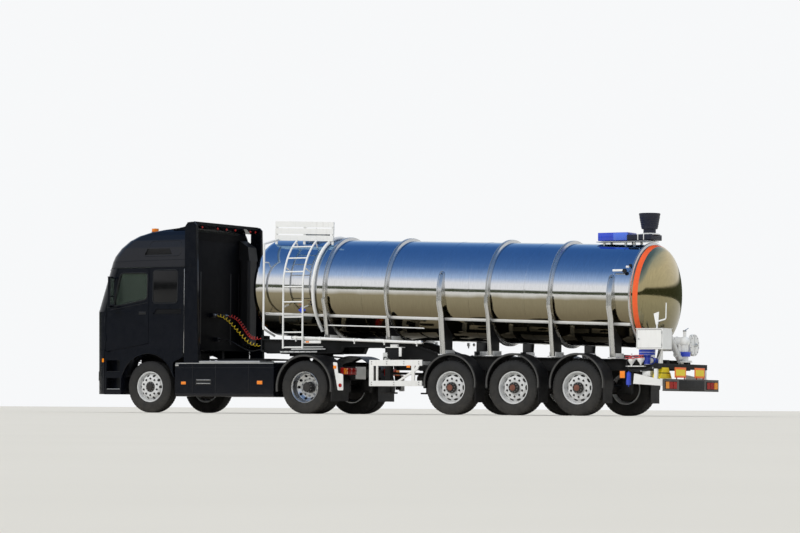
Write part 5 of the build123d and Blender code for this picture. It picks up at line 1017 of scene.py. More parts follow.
for name, side in SIDES.items():
    hub, cap_bolts = hub_cap(-0.075, FRONT_FACE, 0.15, 0.062)
    wheel((f"tyre_front_{name}", f"rim_front_{name}"), (f"front_{name}_tyre", f"front_{name}_rim"),
          f"front_{name}_wheel", [(tyre_surface(FRONT_TYRE_WIDTH, 52), True, True)], [
              (rim_white, [barrel(FRONT_TYRE_WIDTH)] + wheel_disc(FRONT_FACE, 0.05) + [valve_stem]),
              (dark_steel, wheel_nuts(FRONT_FACE) + [hub, brake_drum(-0.06, FRONT_FACE)]),
              (nut_steel, [cap_bolts, weights]),
          ], FRONT_AXLE_X, FRONT_WHEEL_Y, side)

    hub, cap_bolts = hub_cap(-0.16, OUTER_TWIN_FACE, 0.06, 0.08)
    outer = lifted([barrel(TWIN_TYRE_WIDTH)] + wheel_disc(OUTER_TWIN_FACE, -0.03), TWIN_OFFSET)
    inner = lifted([barrel(TWIN_TYRE_WIDTH)] + wheel_disc(INNER_TWIN_FACE, 0.05), -TWIN_OFFSET)
    twin = [(tyre_surface(TWIN_TYRE_WIDTH, 60) + [0, 0, s * TWIN_OFFSET], True, True) for s in (-1, 1)]
    wheel((f"tyres_drive_{name}", f"rim_drive_{name}"), (f"drive_{name}_tyres", f"drive_{name}_rim"),
          f"drive_{name}_wheel", twin, [
              (rim_bright, outer + inner + [twin_link]),
              (nut_steel, lifted(wheel_nuts(OUTER_TWIN_FACE) + [cap_bolts], TWIN_OFFSET)),
              (dark_steel, lifted([hub], TWIN_OFFSET) + [brake_drum(-0.23, -0.02)]),
          ], DRIVE_AXLE_X, DRIVE_WHEEL_Y, side)

    hub, cap_bolts = hub_cap(-0.09, TRAILER_FACE, 0.19, 0.066)
    disc = wheel_disc(TRAILER_FACE, 0.048, 0.236, 0.018, 0.046)
    for number, x in TRAILER_AXLES.items():
        wheel((f"tyre_trailer_{name}_{number}", f"rim_trailer_{name}_{number}"),
              (f"trailer_{name}_tyre_{number}", f"trailer_{name}_rim_{number}"),
              f"trailer_{name}_wheel_{number}", [(tyre_surface(TRAILER_TYRE_WIDTH, 48), True, True)], [
                  (rim_white, [barrel(TRAILER_TYRE_WIDTH)] + disc + [valve_stem]),
                  (dark_steel, wheel_nuts(TRAILER_FACE) + [hub, brake_drum(-0.08, TRAILER_FACE)]),
                  (hub_rust, [hub_cover]),
                  (nut_steel, [cap_bolts, weights]),
              ], x, TRAILER_WHEEL_Y, side)


# Cab

CAB_HALF_WIDTH = 1.235
CORNER_RADIUS = 0.26
NOSE_HALF_WIDTH = CAB_HALF_WIDTH - CORNER_RADIUS
NOSE_BOW = 0.07
NOSE_RADIUS = (NOSE_HALF_WIDTH ** 2 + NOSE_BOW ** 2) / (2 * NOSE_BOW)


def cab_side(x, z):
    """Distance of the cab's flat side from the middle at a height, from the part's levels."""
    levels = [0.37, 2.05, 2.945, 3.06, 3.18, 3.34, 3.49]
    reaches = [CAB_HALF_WIDTH, 1.245, 1.225, 1.217, 1.205, 1.182, 1.15]
    return np.interp(z, levels, reaches) + 0 * x


def upright(outline, y):
    """Points (x, z) in the upright plane at y."""
    outline = np.asarray(outline, dtype=float)
    return np.stack([outline[:, 0], y + 0 * outline[:, 0], outline[:, 1]], -1)


def on_cab_side(outline, proud):
    """Points (x, z) put on the cab's left side, a little proud of it."""
    outline = np.asarray(outline, dtype=float)
    return np.stack([outline[:, 0], -cab_side(outline[:, 0], outline[:, 1]) - proud, outline[:, 1]], -1)


DOOR_FRONT_X = FRONT_AXLE_X - 1.03
DOOR_REAR_X = FRONT_AXLE_X + 0.005
WINDOW = [(DOOR_FRONT_X + 0.175, 2.15), (DOOR_REAR_X - 0.032, 2.29), (DOOR_REAR_X - 0.032, 2.83),
          (DOOR_FRONT_X + 0.335, 2.83)]
BLIND = [(-4.926, 2.21), (-4.336, 2.21), (-4.336, 2.88), (-4.926, 2.88)]

window_line = rounded_path(WINDOW, 0.09, 8, closed=True)
window_seal = tube(on_cab_side(window_line, -0.004), 0.013, 8, closed=True)
handle_recess = blocks([(DOOR_REAR_X - 0.23, DOOR_REAR_X - 0.06, -1.2495, -1.235, 1.985, 2.045)],
                       edge=0.006)
handle_bar = tube([(DOOR_REAR_X - 0.215, -1.244, 2.015), (DOOR_REAR_X - 0.2, -1.2485, 2.015),
                   (DOOR_REAR_X - 0.09, -1.2485, 2.015), (DOOR_REAR_X - 0.075, -1.244, 2.015)], 0.0085, 10,
                  (0, 0, 1))
sill_strip = tube(on_cab_side([(DOOR_FRONT_X + 0.1, 2.085), (DOOR_REAR_X - 0.02, 2.225)], 0.0), 0.007, 8,
                  (0, 0, 1))
for name, side in SIDES.items():
    piece(f"{name}_door_trim", f"{name}_door", [
        (seal_rubber, on_side([window_seal, handle_recess], side)),
        (black_plastic, on_side([sill_strip], side)),
        (dark_steel, on_side([handle_bar], side)),
    ])

blind_frame = tube(on_cab_side(rounded_path(BLIND, 0.08, 7, closed=True), -0.006), 0.011, 8, closed=True)
blind_panel = blocks([(-4.915, -4.347, -1.2345, -1.215, 2.222, 2.868)], edge=0.03, steps=3)
drip_rail = tube(on_cab_side([(-5.95, 2.936), (-5.3, 2.944), (-4.175, 2.945)], 0.001), 0.0075, 8)
bright_seam = blocks([(CAB_REAR_X - 0.006, CAB_REAR_X + 0.002, -1.2425, -1.225, 1.2, 2.9)], edge=0.004)
recess_slats = blocks([(-4.9 + 0.02 * k, -4.25, -1.232, -1.222, 2.0 + 0.021 * k, 2.01 + 0.021 * k)
                       for k in range(4)], edge=0.003)
piano_black = finish("piano_black", (0.003, 0.003, 0.004), rough=0.15, coat=0.15, mottle=0.2, specular=0.25)
paired("cab_side_trim", "tractor", [
    (seal_rubber, [blind_frame, drip_rail]),
    (piano_black, [blind_panel]),
    (brushed_steel, [bright_seam]),
    (black_plastic, [recess_slats]),
])

grille_bars = blocks([(FRONT_X + 0.035, FRONT_X + 0.06, -0.8, 0.8, 1.41 + 0.13 * row + 0.022 * k,
                       1.42 + 0.13 * row + 0.022 * k) for row in range(4) for k in range(3)], edge=0.003)
grille_posts = blocks([(FRONT_X + 0.05, FRONT_X + 0.085, y - 0.012, y + 0.012, 1.31, 2.0)
                       for y in (-0.6, -0.3, 0.0, 0.3, 0.6)], edge=0.004)
low_rows = [(0.755, 0.915 + 0.045 * k, 0.93 + 0.045 * k) for k in range(6)]
low_rows += [(0.615, 0.495 + 0.04 * k, 0.508 + 0.04 * k) for k in range(3)]
low_grille = blocks([(FRONT_X + 0.075, FRONT_X + 0.095, -half, half, z0, z1) for half, z0, z1 in low_rows],
                    edge=0.004)
plate = blocks([(FRONT_X + 0.004, FRONT_X + 0.02, -0.26, 0.26, 0.7, 0.81)], edge=0.004)
piece("front_grille", "tractor",
      [(black_plastic, [grille_bars, grille_posts, low_grille]), (white_paint, [plate])])


def screen_point(y, z):
    """Place of the windscreen's outer face: the nose lies back with height, and bows back towards the
    sides."""
    nose = FRONT_X + np.interp(z, [2.05, 2.945], [0.0, 0.285])
    bow = np.sqrt(np.maximum(NOSE_RADIUS ** 2 - np.square(y), 0))
    return np.stack([nose + NOSE_RADIUS - bow, y + 0 * z, z + 0 * y], -1)


visor_y = np.linspace(-0.93, 0.93, 40)[:, None]
visor_t = np.linspace(0, 1, 5)[None, :]
visor_out = screen_point(visor_y, 2.9 + 0.12 * visor_t) - [0.045, 0, 0]
visor_out = visor_out - np.array([0.05, 0, 0]) * (1 - visor_t[..., None])
visor = np.concatenate([visor_out, (visor_out + [0.012, 0, 0])[:, ::-1]], axis=1)
wipers = []
for (base_y, base_z), (tip_y, tip_z) in (((-0.55, 2.13), (-0.08, 2.7)), ((0.15, 2.13), (0.68, 2.66))):
    t = np.linspace(0, 1, 14)
    arm = screen_point(base_y + (tip_y - base_y) * t, base_z + (tip_z - base_z) * t) - [0.014, 0, 0]
    wipers.append(tube(arm, np.linspace(0.01, 0.006, 14), 8, (1, 0, 0)))
    blade_y = tip_y + np.linspace(-0.3, 0.3, 16) * 0.55
    blade_z = tip_z - 0.1 + np.linspace(-0.3, 0.1, 16)
    wipers.append(tube(screen_point(blade_y, blade_z) - [0.01, 0, 0], 0.007, 6, (1, 0, 0)))
piece("screen_furniture", "tractor", [
    (piano_black, [capped(visor)]),
    (black_plastic, wipers),
])


def lens_rows(x, y0, y1, z0, z1, count, gap=0.006):
    """Lens blocks side by side on a face that looks back along X."""
    width = (y1 - y0) / count
    return [(x, x + 0.01, y0 + k * width + gap, y0 + (k + 1) * width - gap, z0, z1) for k in range(count)]


beacon_base = [(0, 0), (0.078, 0), (0.078, 0.008), (0.072, 0.014), (0, 0.014)]
beacon_ribs = [(0.0705 + 0.002 * (k % 2), 0.005 * k) for k in range(10)]
beacon_lens = [(0, 0.0)] + beacon_ribs + [(0.066, 0.056), (0.05, 0.065), (0, 0.07)]
beacon_places = [(FRONT_AXLE_X - 0.125, side * 0.83, 3.682) for side in SIDES.values()]
piece("roof_beacons", "tractor", [
    (black_plastic, [copies(lathe(beacon_base, 24), np.array(beacon_places) - [0, 0, 0.012])]),
    (amber_lens, [copies(lathe(beacon_lens, 32), beacon_places)]),
])

# Low on the tractor: steps, markers, side tanks and the tail
SKIRT_Y = -1.236
step_tread = blocks([(-6.035, -5.7, -1.244, -1.065, 0.466, 0.482)], edge=0.004)
upper_tread = blocks([(-6.035, -5.7, -1.244, -1.065, 0.826, 0.838)], edge=0.004)
tank_treads = blocks([(-4.36, -2.045, -1.238, -0.645, 0.986, 1.004),
                      (-3.8, -2.36, -1.236, -0.7, 1.004, 1.04)], edge=0.006)
tread_ribs = blocks([(-3.775 + 0.047 * k, -3.755 + 0.047 * k, -1.2, -0.74, 1.039, 1.045)
                     for k in range(30)], edge=0.002, steps=1)
step_strip = blocks([(-4.368, -4.283, -1.2405, -1.215, 0.936, 0.976)], edge=0.005)
marker_lenses = blocks([(-4.216, -4.106, -1.2475, -1.238, 0.572, 0.627),
                        (-2.416, -2.293, -1.2475, -1.238, 0.576, 0.645)], edge=0.005)
marker_frames = blocks([(-4.226, -4.096, -1.243, SKIRT_Y, 0.562, 0.637),
                        (-2.426, -2.283, -1.243, SKIRT_Y, 0.566, 0.655)], edge=0.004)
skirt_seams = blocks([(x - 0.004, x + 0.004, -1.2412, SKIRT_Y, 0.4, 0.975) for x in (-3.95, -3.4, -2.62)],
                     edge=0.001, steps=1)
skirt_line = blocks([(-4.36, -2.05, -1.2415, SKIRT_Y, 0.9, 0.908)], edge=0.002, steps=1)
foot_recess = blocks([(-3.872, -3.495, -1.2422, -1.225, 0.56, 0.685)], edge=0.02)
foot_bar = blocks([(-3.85, -3.517, -1.2465, SKIRT_Y, 0.655, 0.668),
                   (-3.85, -3.517, -1.2465, SKIRT_Y, 0.585, 0.598)], edge=0.004)
paired("tractor_low_trim", "tractor", [
    (tread_plate, [step_tread, tank_treads, tread_ribs, step_strip]),
    (amber_lens, [marker_lenses]),
    (black_plastic, [marker_frames, foot_recess, skirt_seams, skirt_line, upper_tread]),
    (brushed_steel, [foot_bar]),
])

TAIL_X = DRIVE_AXLE_X + 0.76
holder = [(DRIVE_AXLE_X + 0.648, 1.012), (DRIVE_AXLE_X + 0.742, 1.005), (DRIVE_AXLE_X + 0.768, 0.8),
          (DRIVE_AXLE_X + 0.88, 0.775), (DRIVE_AXLE_X + 0.885, 0.462), (DRIVE_AXLE_X + 0.76, 0.462)]
holder_skin = prism(rounded_path(holder, 0.02, 4, closed=True), -1.2105, -1.2055, "y")
holder_marker = blocks([(DRIVE_AXLE_X + 0.66, DRIVE_AXLE_X + 0.725, -1.2205, -1.208, 0.885, 0.945)],
                       edge=0.006)
reflector_profile = [(0, 0.01), (0.034, 0.01), (0.037, 0.006), (0.037, -0.006), (0, -0.006)]
reflector = turned(lathe(reflector_profile, 28), "x", pi / 2) + [DRIVE_AXLE_X + 0.815, -1.212, 0.56]
tail_plate = blocks([(TAIL_X + 0.002, TAIL_X + 0.01, -0.53, -0.14, 0.69, 0.93)], edge=0.004)
tail_frame = blocks([(TAIL_X - 0.002, TAIL_X + 0.004, -0.54, -0.13, 0.68, 0.94)], edge=0.004)
tail_lens = blocks(lens_rows(TAIL_X + 0.0595, -1.105, -0.595, 0.778, 0.897, 3), edge=0.006)
tail_amber = blocks(lens_rows(TAIL_X + 0.0625, -1.101, -0.939, 0.782, 0.893, 1, 0.008), edge=0.006)
piece("tractor_tail_trim", "tractor", [
    (white_paint, both([holder_skin]) + [tail_plate]),
    (black_plastic, [tail_frame]),
    (amber_lens, both([holder_marker, tail_amber])),
    (red_lens, both([tail_lens, (reflector, False, True)])),
])

# Cab roof, arch edges, mirrors, headlamps and the small lamps along the rear edge of the roof
louvre_back = blocks([(CAB_REAR_X - 1.01, CAB_REAR_X - 0.322, -1.1705, -1.16, 3.18, 3.325)], edge=0.002,
                     steps=1)
louvre_bars = blocks([(CAB_REAR_X - 0.98 + 0.02 * k, CAB_REAR_X - 0.352 - 0.02 * k, -1.186, -1.17,
                       3.216 + 0.03 * k, 3.224 + 0.03 * k) for k in range(3)], edge=0.003)
roof_panel = rounded_path([(-5.185, 3.16), (-4.29, 3.16), (-4.29, 3.47), (-5.02, 3.47)], 0.08, 6,
                          closed=True)
roof_panel_edge = tube(on_cab_side(roof_panel, -0.004), 0.008, 8, closed=True)
deflector = prism([(-5.148, 3.612), (-4.416, 3.56), (-4.416, 3.74), (-4.9, 3.69)], -1.006, -0.99, "y")
deflector_end = blocks([(-4.432, -4.4, -1.012, -0.986, 3.556, 3.748)], edge=0.006)
roof_seam = tube(on_cab_side([(-5.86, 3.06), (-5.3, 3.075), (-4.175, 3.085)], 0.0), 0.005, 8)
paired("cab_roof_trim", "tractor", [
    (seal_rubber, [louvre_back]),
    (black_plastic, [louvre_bars, deflector]),
    (piano_black, [roof_panel_edge, roof_seam]),
    (brushed_steel, [deflector_end]),
])


def arch_tube(x, z, radius, y, start, end, thick):
    """Round edge along a wheel arch: a circle's arc about the axle between two angles in degrees."""
    angle = np.radians(np.linspace(start, end, 60))
    line = np.stack([x + radius * np.cos(angle), y + 0 * angle, z + radius * np.sin(angle)], -1)
    return tube(line, thick, 10)


def arch_band(x, z, inner, outer, y, start, end):
    """Flat edge of an arch: rings at two radii and two depths, closed as a bar's section along the
    arc."""
    angle = np.radians(np.linspace(start, end, 60))[:, None]
    radius = np.array([inner, inner + 0.006, outer - 0.01, outer, outer, inner])
    depth = np.array([0.004, 0.0, 0.0, 0.01, 0.024, 0.024])
    return capped(np.stack([x + radius * np.cos(angle), y + depth + 0 * angle, z + radius * np.sin(angle)],
                           -1))


FENDER_SPAN = (-8, 188)
# Painted highlight: the arch lips are a lighter grey than the black fenders, standing in for the light
# along each lip; the dust on them is real
lip_highlight_grey = finish("lip_highlight_grey_plastic", (0.055, 0.055, 0.053), rough=0.38, mottle=0.2, dust=0.3,
                    dust_top=1.1, dust_colour=(0.16, 0.14, 0.12))
fender_rim = arch_band(DRIVE_AXLE_X, TYRE_RADIUS, 0.6, 0.6455, -1.2505, *FENDER_SPAN)
wing_rim = arch_tube(FRONT_AXLE_X, TYRE_RADIUS + 0.02, 0.654, -1.2465, 18, 160, 0.009)
trailer_rims = [arch_band(x, TYRE_RADIUS + 0.08, 0.535, 0.5725, -1.2512, *FENDER_SPAN)
                for x in TRAILER_AXLES.values()]
paired("tractor_arch_edges", "tractor", [
    (lip_highlight_grey, [fender_rim]),
    (piano_black, [wing_rim]),
])
paired("trailer_arch_edges", "trailer", [(lip_highlight_grey, trailer_rims)])

fairing_front = CAB_REAR_X + 0.009
fairing_edge = rounded_path([(FRONT_AXLE_X + 1.222, 1.03), (FRONT_AXLE_X + 1.15, 3.78),
                             (FRONT_AXLE_X + 1.09, 3.836), (fairing_front + 0.06, 3.822)], 0.05, 6)
fairing_roll = tube(upright(fairing_edge - [0.006, 0], -1.24), 0.0078, 10)
paired("fairing_edges", "tractor", [(piano_black, [fairing_roll])])

mirror_x = DOOR_FRONT_X + 0.225
mirror_glass = blocks([(mirror_x + 0.0345, mirror_x + 0.0375, -1.475, -1.349, z0, z1)
                       for z0, z1 in ((2.17, 2.34), (2.365, 2.715))], edge=0.002, steps=1)
mirror_rim = blocks([(mirror_x + 0.03, mirror_x + 0.0362, -1.483, -1.341, z0, z1)
                     for z0, z1 in ((2.16, 2.35), (2.355, 2.725))], edge=0.01)
mirror_caps = blocks([(mirror_x - 0.038, mirror_x + 0.01, -1.48, -1.344, 2.745, 2.757),
                      (mirror_x - 0.038, mirror_x + 0.01, -1.48, -1.344, 2.128, 2.14)], edge=0.005)
mirror_silver = finish("mirror_silver", (0.8, 0.82, 0.84), rough=0.02, metal=1.0, mottle=0.02,
                       rough_swing=0.01)
for name, side in SIDES.items():
    piece(f"{name}_mirror_trim", f"{name}_door", [
        (mirror_silver, on_side([mirror_glass], side)),
        (black_plastic, on_side([mirror_rim, mirror_caps], side)),
    ])


def nose_x(y):
    """Front of the cab below the waist: a wide arc, then the corner's circle."""
    arc = NOSE_RADIUS - np.sqrt(NOSE_RADIUS ** 2 - np.minimum(np.abs(y), NOSE_HALF_WIDTH) ** 2)
    past = np.clip(np.abs(y) - NOSE_HALF_WIDTH, 0, CORNER_RADIUS - 0.01)
    corner = CORNER_RADIUS - np.sqrt(CORNER_RADIUS ** 2 - past ** 2)
    return FRONT_X + 0.012 + arc + corner


lamp_line = rounded_path([(-1.118, 0.652), (-0.832, 0.652), (-0.832, 0.828), (-1.118, 0.828)], 0.03, 5,
                         closed=True)
lamp_frame = tube(np.stack([nose_x(lamp_line[:, 0]) - 0.001, lamp_line[:, 0], lamp_line[:, 1]], -1), 0.012,
                  8, (1, 0, 0), closed=True)
FOG_LAMP_Y = -0.72
bowl_rings = []
for y, radius in ((-0.905, 0.058), (-1.035, 0.066)):
    ring = lathe([(radius, 0), (radius, 0.006), (radius - 0.008, 0.008), (radius - 0.016, 0.004),
                  (radius - 0.016, 0)], 36)
    lean = turned(turned(ring, "y", -pi / 2), "z", 0.12 if y > -1 else 0.3)
    bowl_rings.append((lean + np.array([float(nose_x(y)) + 0.003, y, 0.74]), True, True))
fog_profile = [(0, 0.004), (0.045, 0.004), (0.052, 0.012), (0.056, 0.012), (0.058, 0.004), (0.058, -0.02),
               (0, -0.02)]
fog_place = [float(nose_x(FOG_LAMP_Y)) + 0.004, FOG_LAMP_Y, 0.56]
fog_lamp = turned(lathe(fog_profile, 30), "y", -pi / 2) + fog_place
paired("headlamp_trim", "tractor", [
    (black_plastic, [lamp_frame]),
    (brushed_steel, bowl_rings),
    (clear_lens, [(fog_lamp, False, True)]),
])

edge_lamp = turned(lathe([(0, 0.018), (0.016, 0.016), (0.024, 0.006), (0.026, 0), (0, 0)], 18), "y", pi / 2)
edge_places = [(-3.972, y, 3.74456) for y in (-1.1, -0.9, -0.33, 0.0, 0.33, 0.9, 1.1)]
piece("roof_edge_lamps", "tractor", [(red_lens, [copies(edge_lamp, edge_places)])])

# Back of the cab: grab handle, coupling brackets and ribs
cab_back = CAB_REAR_X + 0.001
bracket_rows = [(-0.33, -0.25, 1.94, 2.025), (0.09, 0.17, 1.94, 2.025), (-0.16, -0.08, 1.455, 1.53)]
brackets = blocks([(cab_back, cab_back + 0.105, *row) for row in bracket_rows], edge=0.006)
back_ribs = blocks([(cab_back, cab_back + 0.012, y - 0.02, y + 0.02, 1.4, 2.86)
                    for y in (-0.98, -0.66, 0.46, 0.78)], edge=0.006)
grab = tube(rounded_path([(cab_back, -0.82, 1.6), (cab_back + 0.06, -0.82, 1.6),
                          (cab_back + 0.06, -0.82, 2.25), (cab_back, -0.82, 2.25)], 0.04, 6), 0.013, 12)
back_panel = blocks([(cab_back, cab_back + 0.003, -1.1, 1.1, 1.27, 3.49),
                     (cab_back, cab_back + 0.003, -1.03, 1.03, 3.49, 3.66)], edge=0.001)
back_black = finish("back_black", (0.003, 0.003, 0.004), rough=0.55, mottle=0.2, specular=0.08)
piece("cab_back_trim", "tractor",
      [(black_plastic, [brackets, back_ribs, grab]), (back_black, [back_panel])])


# Trailer

RAIL_TOPS = [(-0.87, 1.49), (2.48, 1.42), (3.3, 1.15), (8.16, 1.05)]
# Each cradle: place behind the kingpin, whether it ends in a half band of its own,
# height of its top over the axis
CRADLES = [(0.89, 0, -0.2), (2.289, 0, -0.56), (3.493, 1, 0.37), (4.518, 0, -0.06), (5.853, 0, -0.06),
           (7.114, 1, 0.37)]
SOLE = 0.0162
OUTER = RING_RADIUS + 0.022
FLANGE_HALF = 0.039
BAND_HALF = 0.055
SOLE_BOLTS = (0.455, 0.56, 0.78, 0.89)


def cradle_leg(station, band, rise):
    """Web, flange and band cap of one left leg. Over height the outer edge follows three tabled points
    and above the axis a circle that closes in on the shell, the inner edge the circle of the ring or
    shell. The flange's half width falls to a round end by the circle's formula at the top."""
    x = KINGPIN_X + station
    foot = np.interp(station, *zip(*RAIL_TOPS)) + SOLE
    centre = axis_z(x)
    top = centre + rise
    ring = (TANK_RADIUS if band else RING_RADIUS) + 0.0005
    half = BAND_HALF if band else FLANGE_HALF
    z = np.concatenate([np.linspace(foot, top - half, 44)[:-1],
                        top - half * (1 - np.sin(np.linspace(0, pi / 2, 9)))])
    above = np.maximum(z - centre, 0)
    round_edge = np.sqrt(np.square(OUTER - 0.16 * above) - np.square(above))
    outer = np.minimum(np.interp(z, [foot, centre - 0.45, centre - 0.25], [0.88, 0.93 * OUTER, OUTER]),
                       round_edge)
    inner = np.maximum(0.5, np.sqrt(np.maximum(ring ** 2 - np.square(z - centre), 0)))
    inner = np.minimum(inner, outer - 0.0165)

    def plate(half, outside, inside, lip):
        """Closed loop of ten points at each height: a bar with two raised edges, lip high, along its
        outer face."""
        loop_x = np.array([-0.5, -0.62, -0.96, -1, -1, 1, 1, 0.96, 0.62, 0.5]) * half[:, None]
        mix = np.array([0, 0, 0, 0, 1, 1, 0, 0, 0, 0])
        sunk = np.array([1, 0, 0, 0.3, 0, 0, 0.3, 0, 0, 1]) * lip
        depth = -(outside[:, None] * (1 - mix) + inside[:, None] * mix) + sunk
        return capped(np.stack([x + loop_x, depth, z[:, None] + 0 * loop_x], -1))

    cap = np.minimum(1, np.sqrt(np.maximum(0, 1 - ((z - top + half) / half).clip(0) ** 2)) + 0.02)
    back = np.where((z > centre - 0.3) & (band > 0), inner, outer - 0.016)
    flange = plate(half * cap, outer, back, 0.01)
    web = plate(0.006 + 0 * z, outer - 0.013, inner, 0.0)
    sole = [(x - 0.09, x + 0.09, -0.91, -0.41, foot - 0.014, foot)]
    gussets = [(x + s * 0.062 - 0.004, x + s * 0.062 + 0.004, -0.87, -0.52, foot, foot + 0.085)
               for s in (-1, 1)]
    edge_y = -float(outer[-9])
    slot = [(x - 0.016, x + 0.016, edge_y - 0.004, edge_y + 0.012, top - 0.052, top - 0.044)] * band
    bolts = [(x + s * 0.075, -y, foot) for s in (-1, 1) for y in SOLE_BOLTS]
    return flange, web, sole + gussets, slot, bolts


hex_head = lathe([(0, 0.011), (0.013, 0.011), (0.015, 0.009), (0.015, 0), (0, 0)], 6)
legs = [cradle_leg(*row) for row in CRADLES]
paired("cradle_legs", "trailer", [
    (brushed_steel, [leg[0] for leg in legs]),
    (white_paint, [blocks([row for leg in legs for row in leg[2]], edge=0.003)]),
    (dark_steel, [leg[1] for leg in legs] + [blocks([row for leg in legs for row in leg[3]], edge=0.002)]),
    (nut_steel, [copies(hex_head, [p for leg in legs for p in leg[4]])]),
], replaced=["tank_cradles"], slot="white_paint")


def facing(grids, axis):
    """A surface drawn about Z, turned so that its axis points along X, against Y or along Z."""
    if axis == "z":
        return grids
    return turned(grids, "y" if axis == "x" else "x", pi / 2)


def skin(profile, sides, axis, place, flip=1, loop=False):
    """Turned surface with its foot at a place, which faces an axis, or away from it for flip -1. The
    profile is a closed loop where asked."""
    grids = lathe(profile, sides) * ([1, 1, 1] if flip > 0 else [1, -1, -1])
    return (facing(grids, axis) + np.asarray(place, dtype=float), loop, True)


def can(radius, length, edge=0.008):
    """Profile of a closed can with eased edges."""
    return [(0, 0), (radius - edge, 0), (radius, edge), (radius, length - edge), (radius - edge, length),
            (0, length)]


def ring_of(radius, count, axis, place, turn=0.5):
    """Places of bolts evenly round a circle across an axis."""
    return facing(round_places(radius, count, 0.0, turn), axis) + np.asarray(place, dtype=float)


def heads(places, axis, size=1.0):
    """Six-sided bolt heads that face an axis."""
    return copies(facing(hex_head * size, axis), places)


# Side guard, clamps, thin pipe and boxes along the frame's left edge
guard_marker = blocks([(0.985, 1.062, -1.2475, -1.234, 0.9, 0.944)], edge=0.004)
guard_ends = blocks([(0.145, 0.15, -1.2365, -1.2035, 0.552, 1.045),
                     (1.313, 1.3185, -1.2365, -1.2035, 0.552, 0.643)], edge=0.001, steps=1)
guard_rows = (((0.2, 0.54, 0.92, 1.25), (0.975, 1.018)), ((0.2, 0.7, 1.25), (0.575, 0.62)))
guard_bolts = [(x, -1.2345, z) for along, heights in guard_rows for x in along for z in heights]
paired("side_guard_trim", "trailer", [
    (amber_lens, [guard_marker]),
    (pale_grey_paint, [guard_ends]),
    (nut_steel, [heads(guard_bolts, "y", 0.8)]),
])

SIDE_TUBE_Y = -1.05
SIDE_TUBE_FRONT_X = -1.735
SIDE_TUBE_REAR_X = 1.235
SIDE_TUBE_FRONT_Z = 1.503
SIDE_TUBE_REAR_Z = 1.386


def on_side_tube(x):
    """Height of the long side tube's middle at a place along it."""
    slope = (SIDE_TUBE_REAR_Z - SIDE_TUBE_FRONT_Z) / (SIDE_TUBE_REAR_X - SIDE_TUBE_FRONT_X)
    return SIDE_TUBE_FRONT_Z + (x - SIDE_TUBE_FRONT_X) * slope


CLAMP_PLACES = [(x, on_side_tube(x)) for x in (-1.64, -1.46, -1.08, -0.3, 0.374, 1.1)]
clamps = [(x - 0.02, x + 0.02, -1.083, -1.017, z - 0.034, z + 0.034) for x, z in CLAMP_PLACES]
clamp_lugs = [(x - 0.012, x + 0.012, -1.058, -1.042, z - 0.075, z - 0.03) for x, z in CLAMP_PLACES]
thin_line = rounded_path([(-1.02, -0.9, 1.86), (-1.055, -0.9, 1.745), (0.36, -0.9, 1.7),
                          (1.18, -0.9, 1.668)], 0.05, 6)
ribbed_box = [(0.43, 0.69, -1.035, -0.925, 1.08 + 0.03 * k, 1.102 + 0.03 * k)
              for k in range(7)] + [(0.44, 0.68, -1.025, -0.935, 1.075, 1.29)]
box_bracket = [(-1.46, -1.06, -1.062, -1.05, 1.385, 1.44), (0.4, 0.76, -1.05, -0.9, 1.29, 1.304),
               (0.7, 0.76, -1.05, -1.036, 1.12, 1.3), (0.48, 0.64, -1.0, -0.94, 1.304, 1.36)]
valve_body = [skin(can(0.034, 0.11), 20, "z", (-1.484, -1.075, 1.985)),
              skin(can(0.022, 0.15), 16, "x", (-1.56, -1.075, 2.04)),
              skin(can(0.01, 0.06, 0.003), 12, "z", (-1.484, -1.075, 2.09))]
tube_ends = [(-1.737, SIDE_TUBE_FRONT_Z), (1.207, 1.387)]
valve_lever = blocks([(-1.56, -1.47, -1.083, -1.067, 2.146, 2.154)], edge=0.003)
piece("side_tube_fittings", "trailer", [
    (white_paint, both([blocks(clamps, edge=0.006), blocks(clamp_lugs, edge=0.003),
                        tube(thin_line, 0.011, 10), blocks(box_bracket, edge=0.004)])),
    (black_plastic, both([blocks(ribbed_box, edge=0.006)])),
    (blue_paint, valve_body),
    (hose_red_grip, [valve_lever]),
    (amber_lens, both([blocks([(-1.4, -1.33, -1.072, -1.06, 1.4, 1.43)], edge=0.004)])),
    (brushed_steel, both([skin(can(0.031, 0.03, 0.004), 24, "x", (x, SIDE_TUBE_Y, z))
                          for x, z in tube_ends])),
])

coupler_edges = blocks([(-2.32, -1.46, -0.545, -0.5315, 1.215, 1.245),
                        (-2.053, -1.262, -0.56, -0.5315, 1.27, 1.296),
                        (-2.2, -1.32, -0.555, -0.5315, 1.316, 1.338)], edge=0.003)
board_face = blocks([(-2.85, -2.8445, -0.42, -0.185, 1.236, 1.564)], edge=0.002)
board_sockets = [skin(can(0.03, 0.018, 0.004), 20, "x", (-2.8635, y, z))
                 for y, z in ((-0.33, 1.365), (-0.33, 1.505), (-0.25, 1.29), (-0.25, 1.44))]
piece("gooseneck_trim", "trailer", [
    (pale_grey_paint, both([coupler_edges])),
    (black_plastic, [board_face] + board_sockets),
    (nut_steel, both([heads([(-2.25 + 0.13 * k, -0.545, 1.235) for k in range(6)], "y", 0.8)])),
])

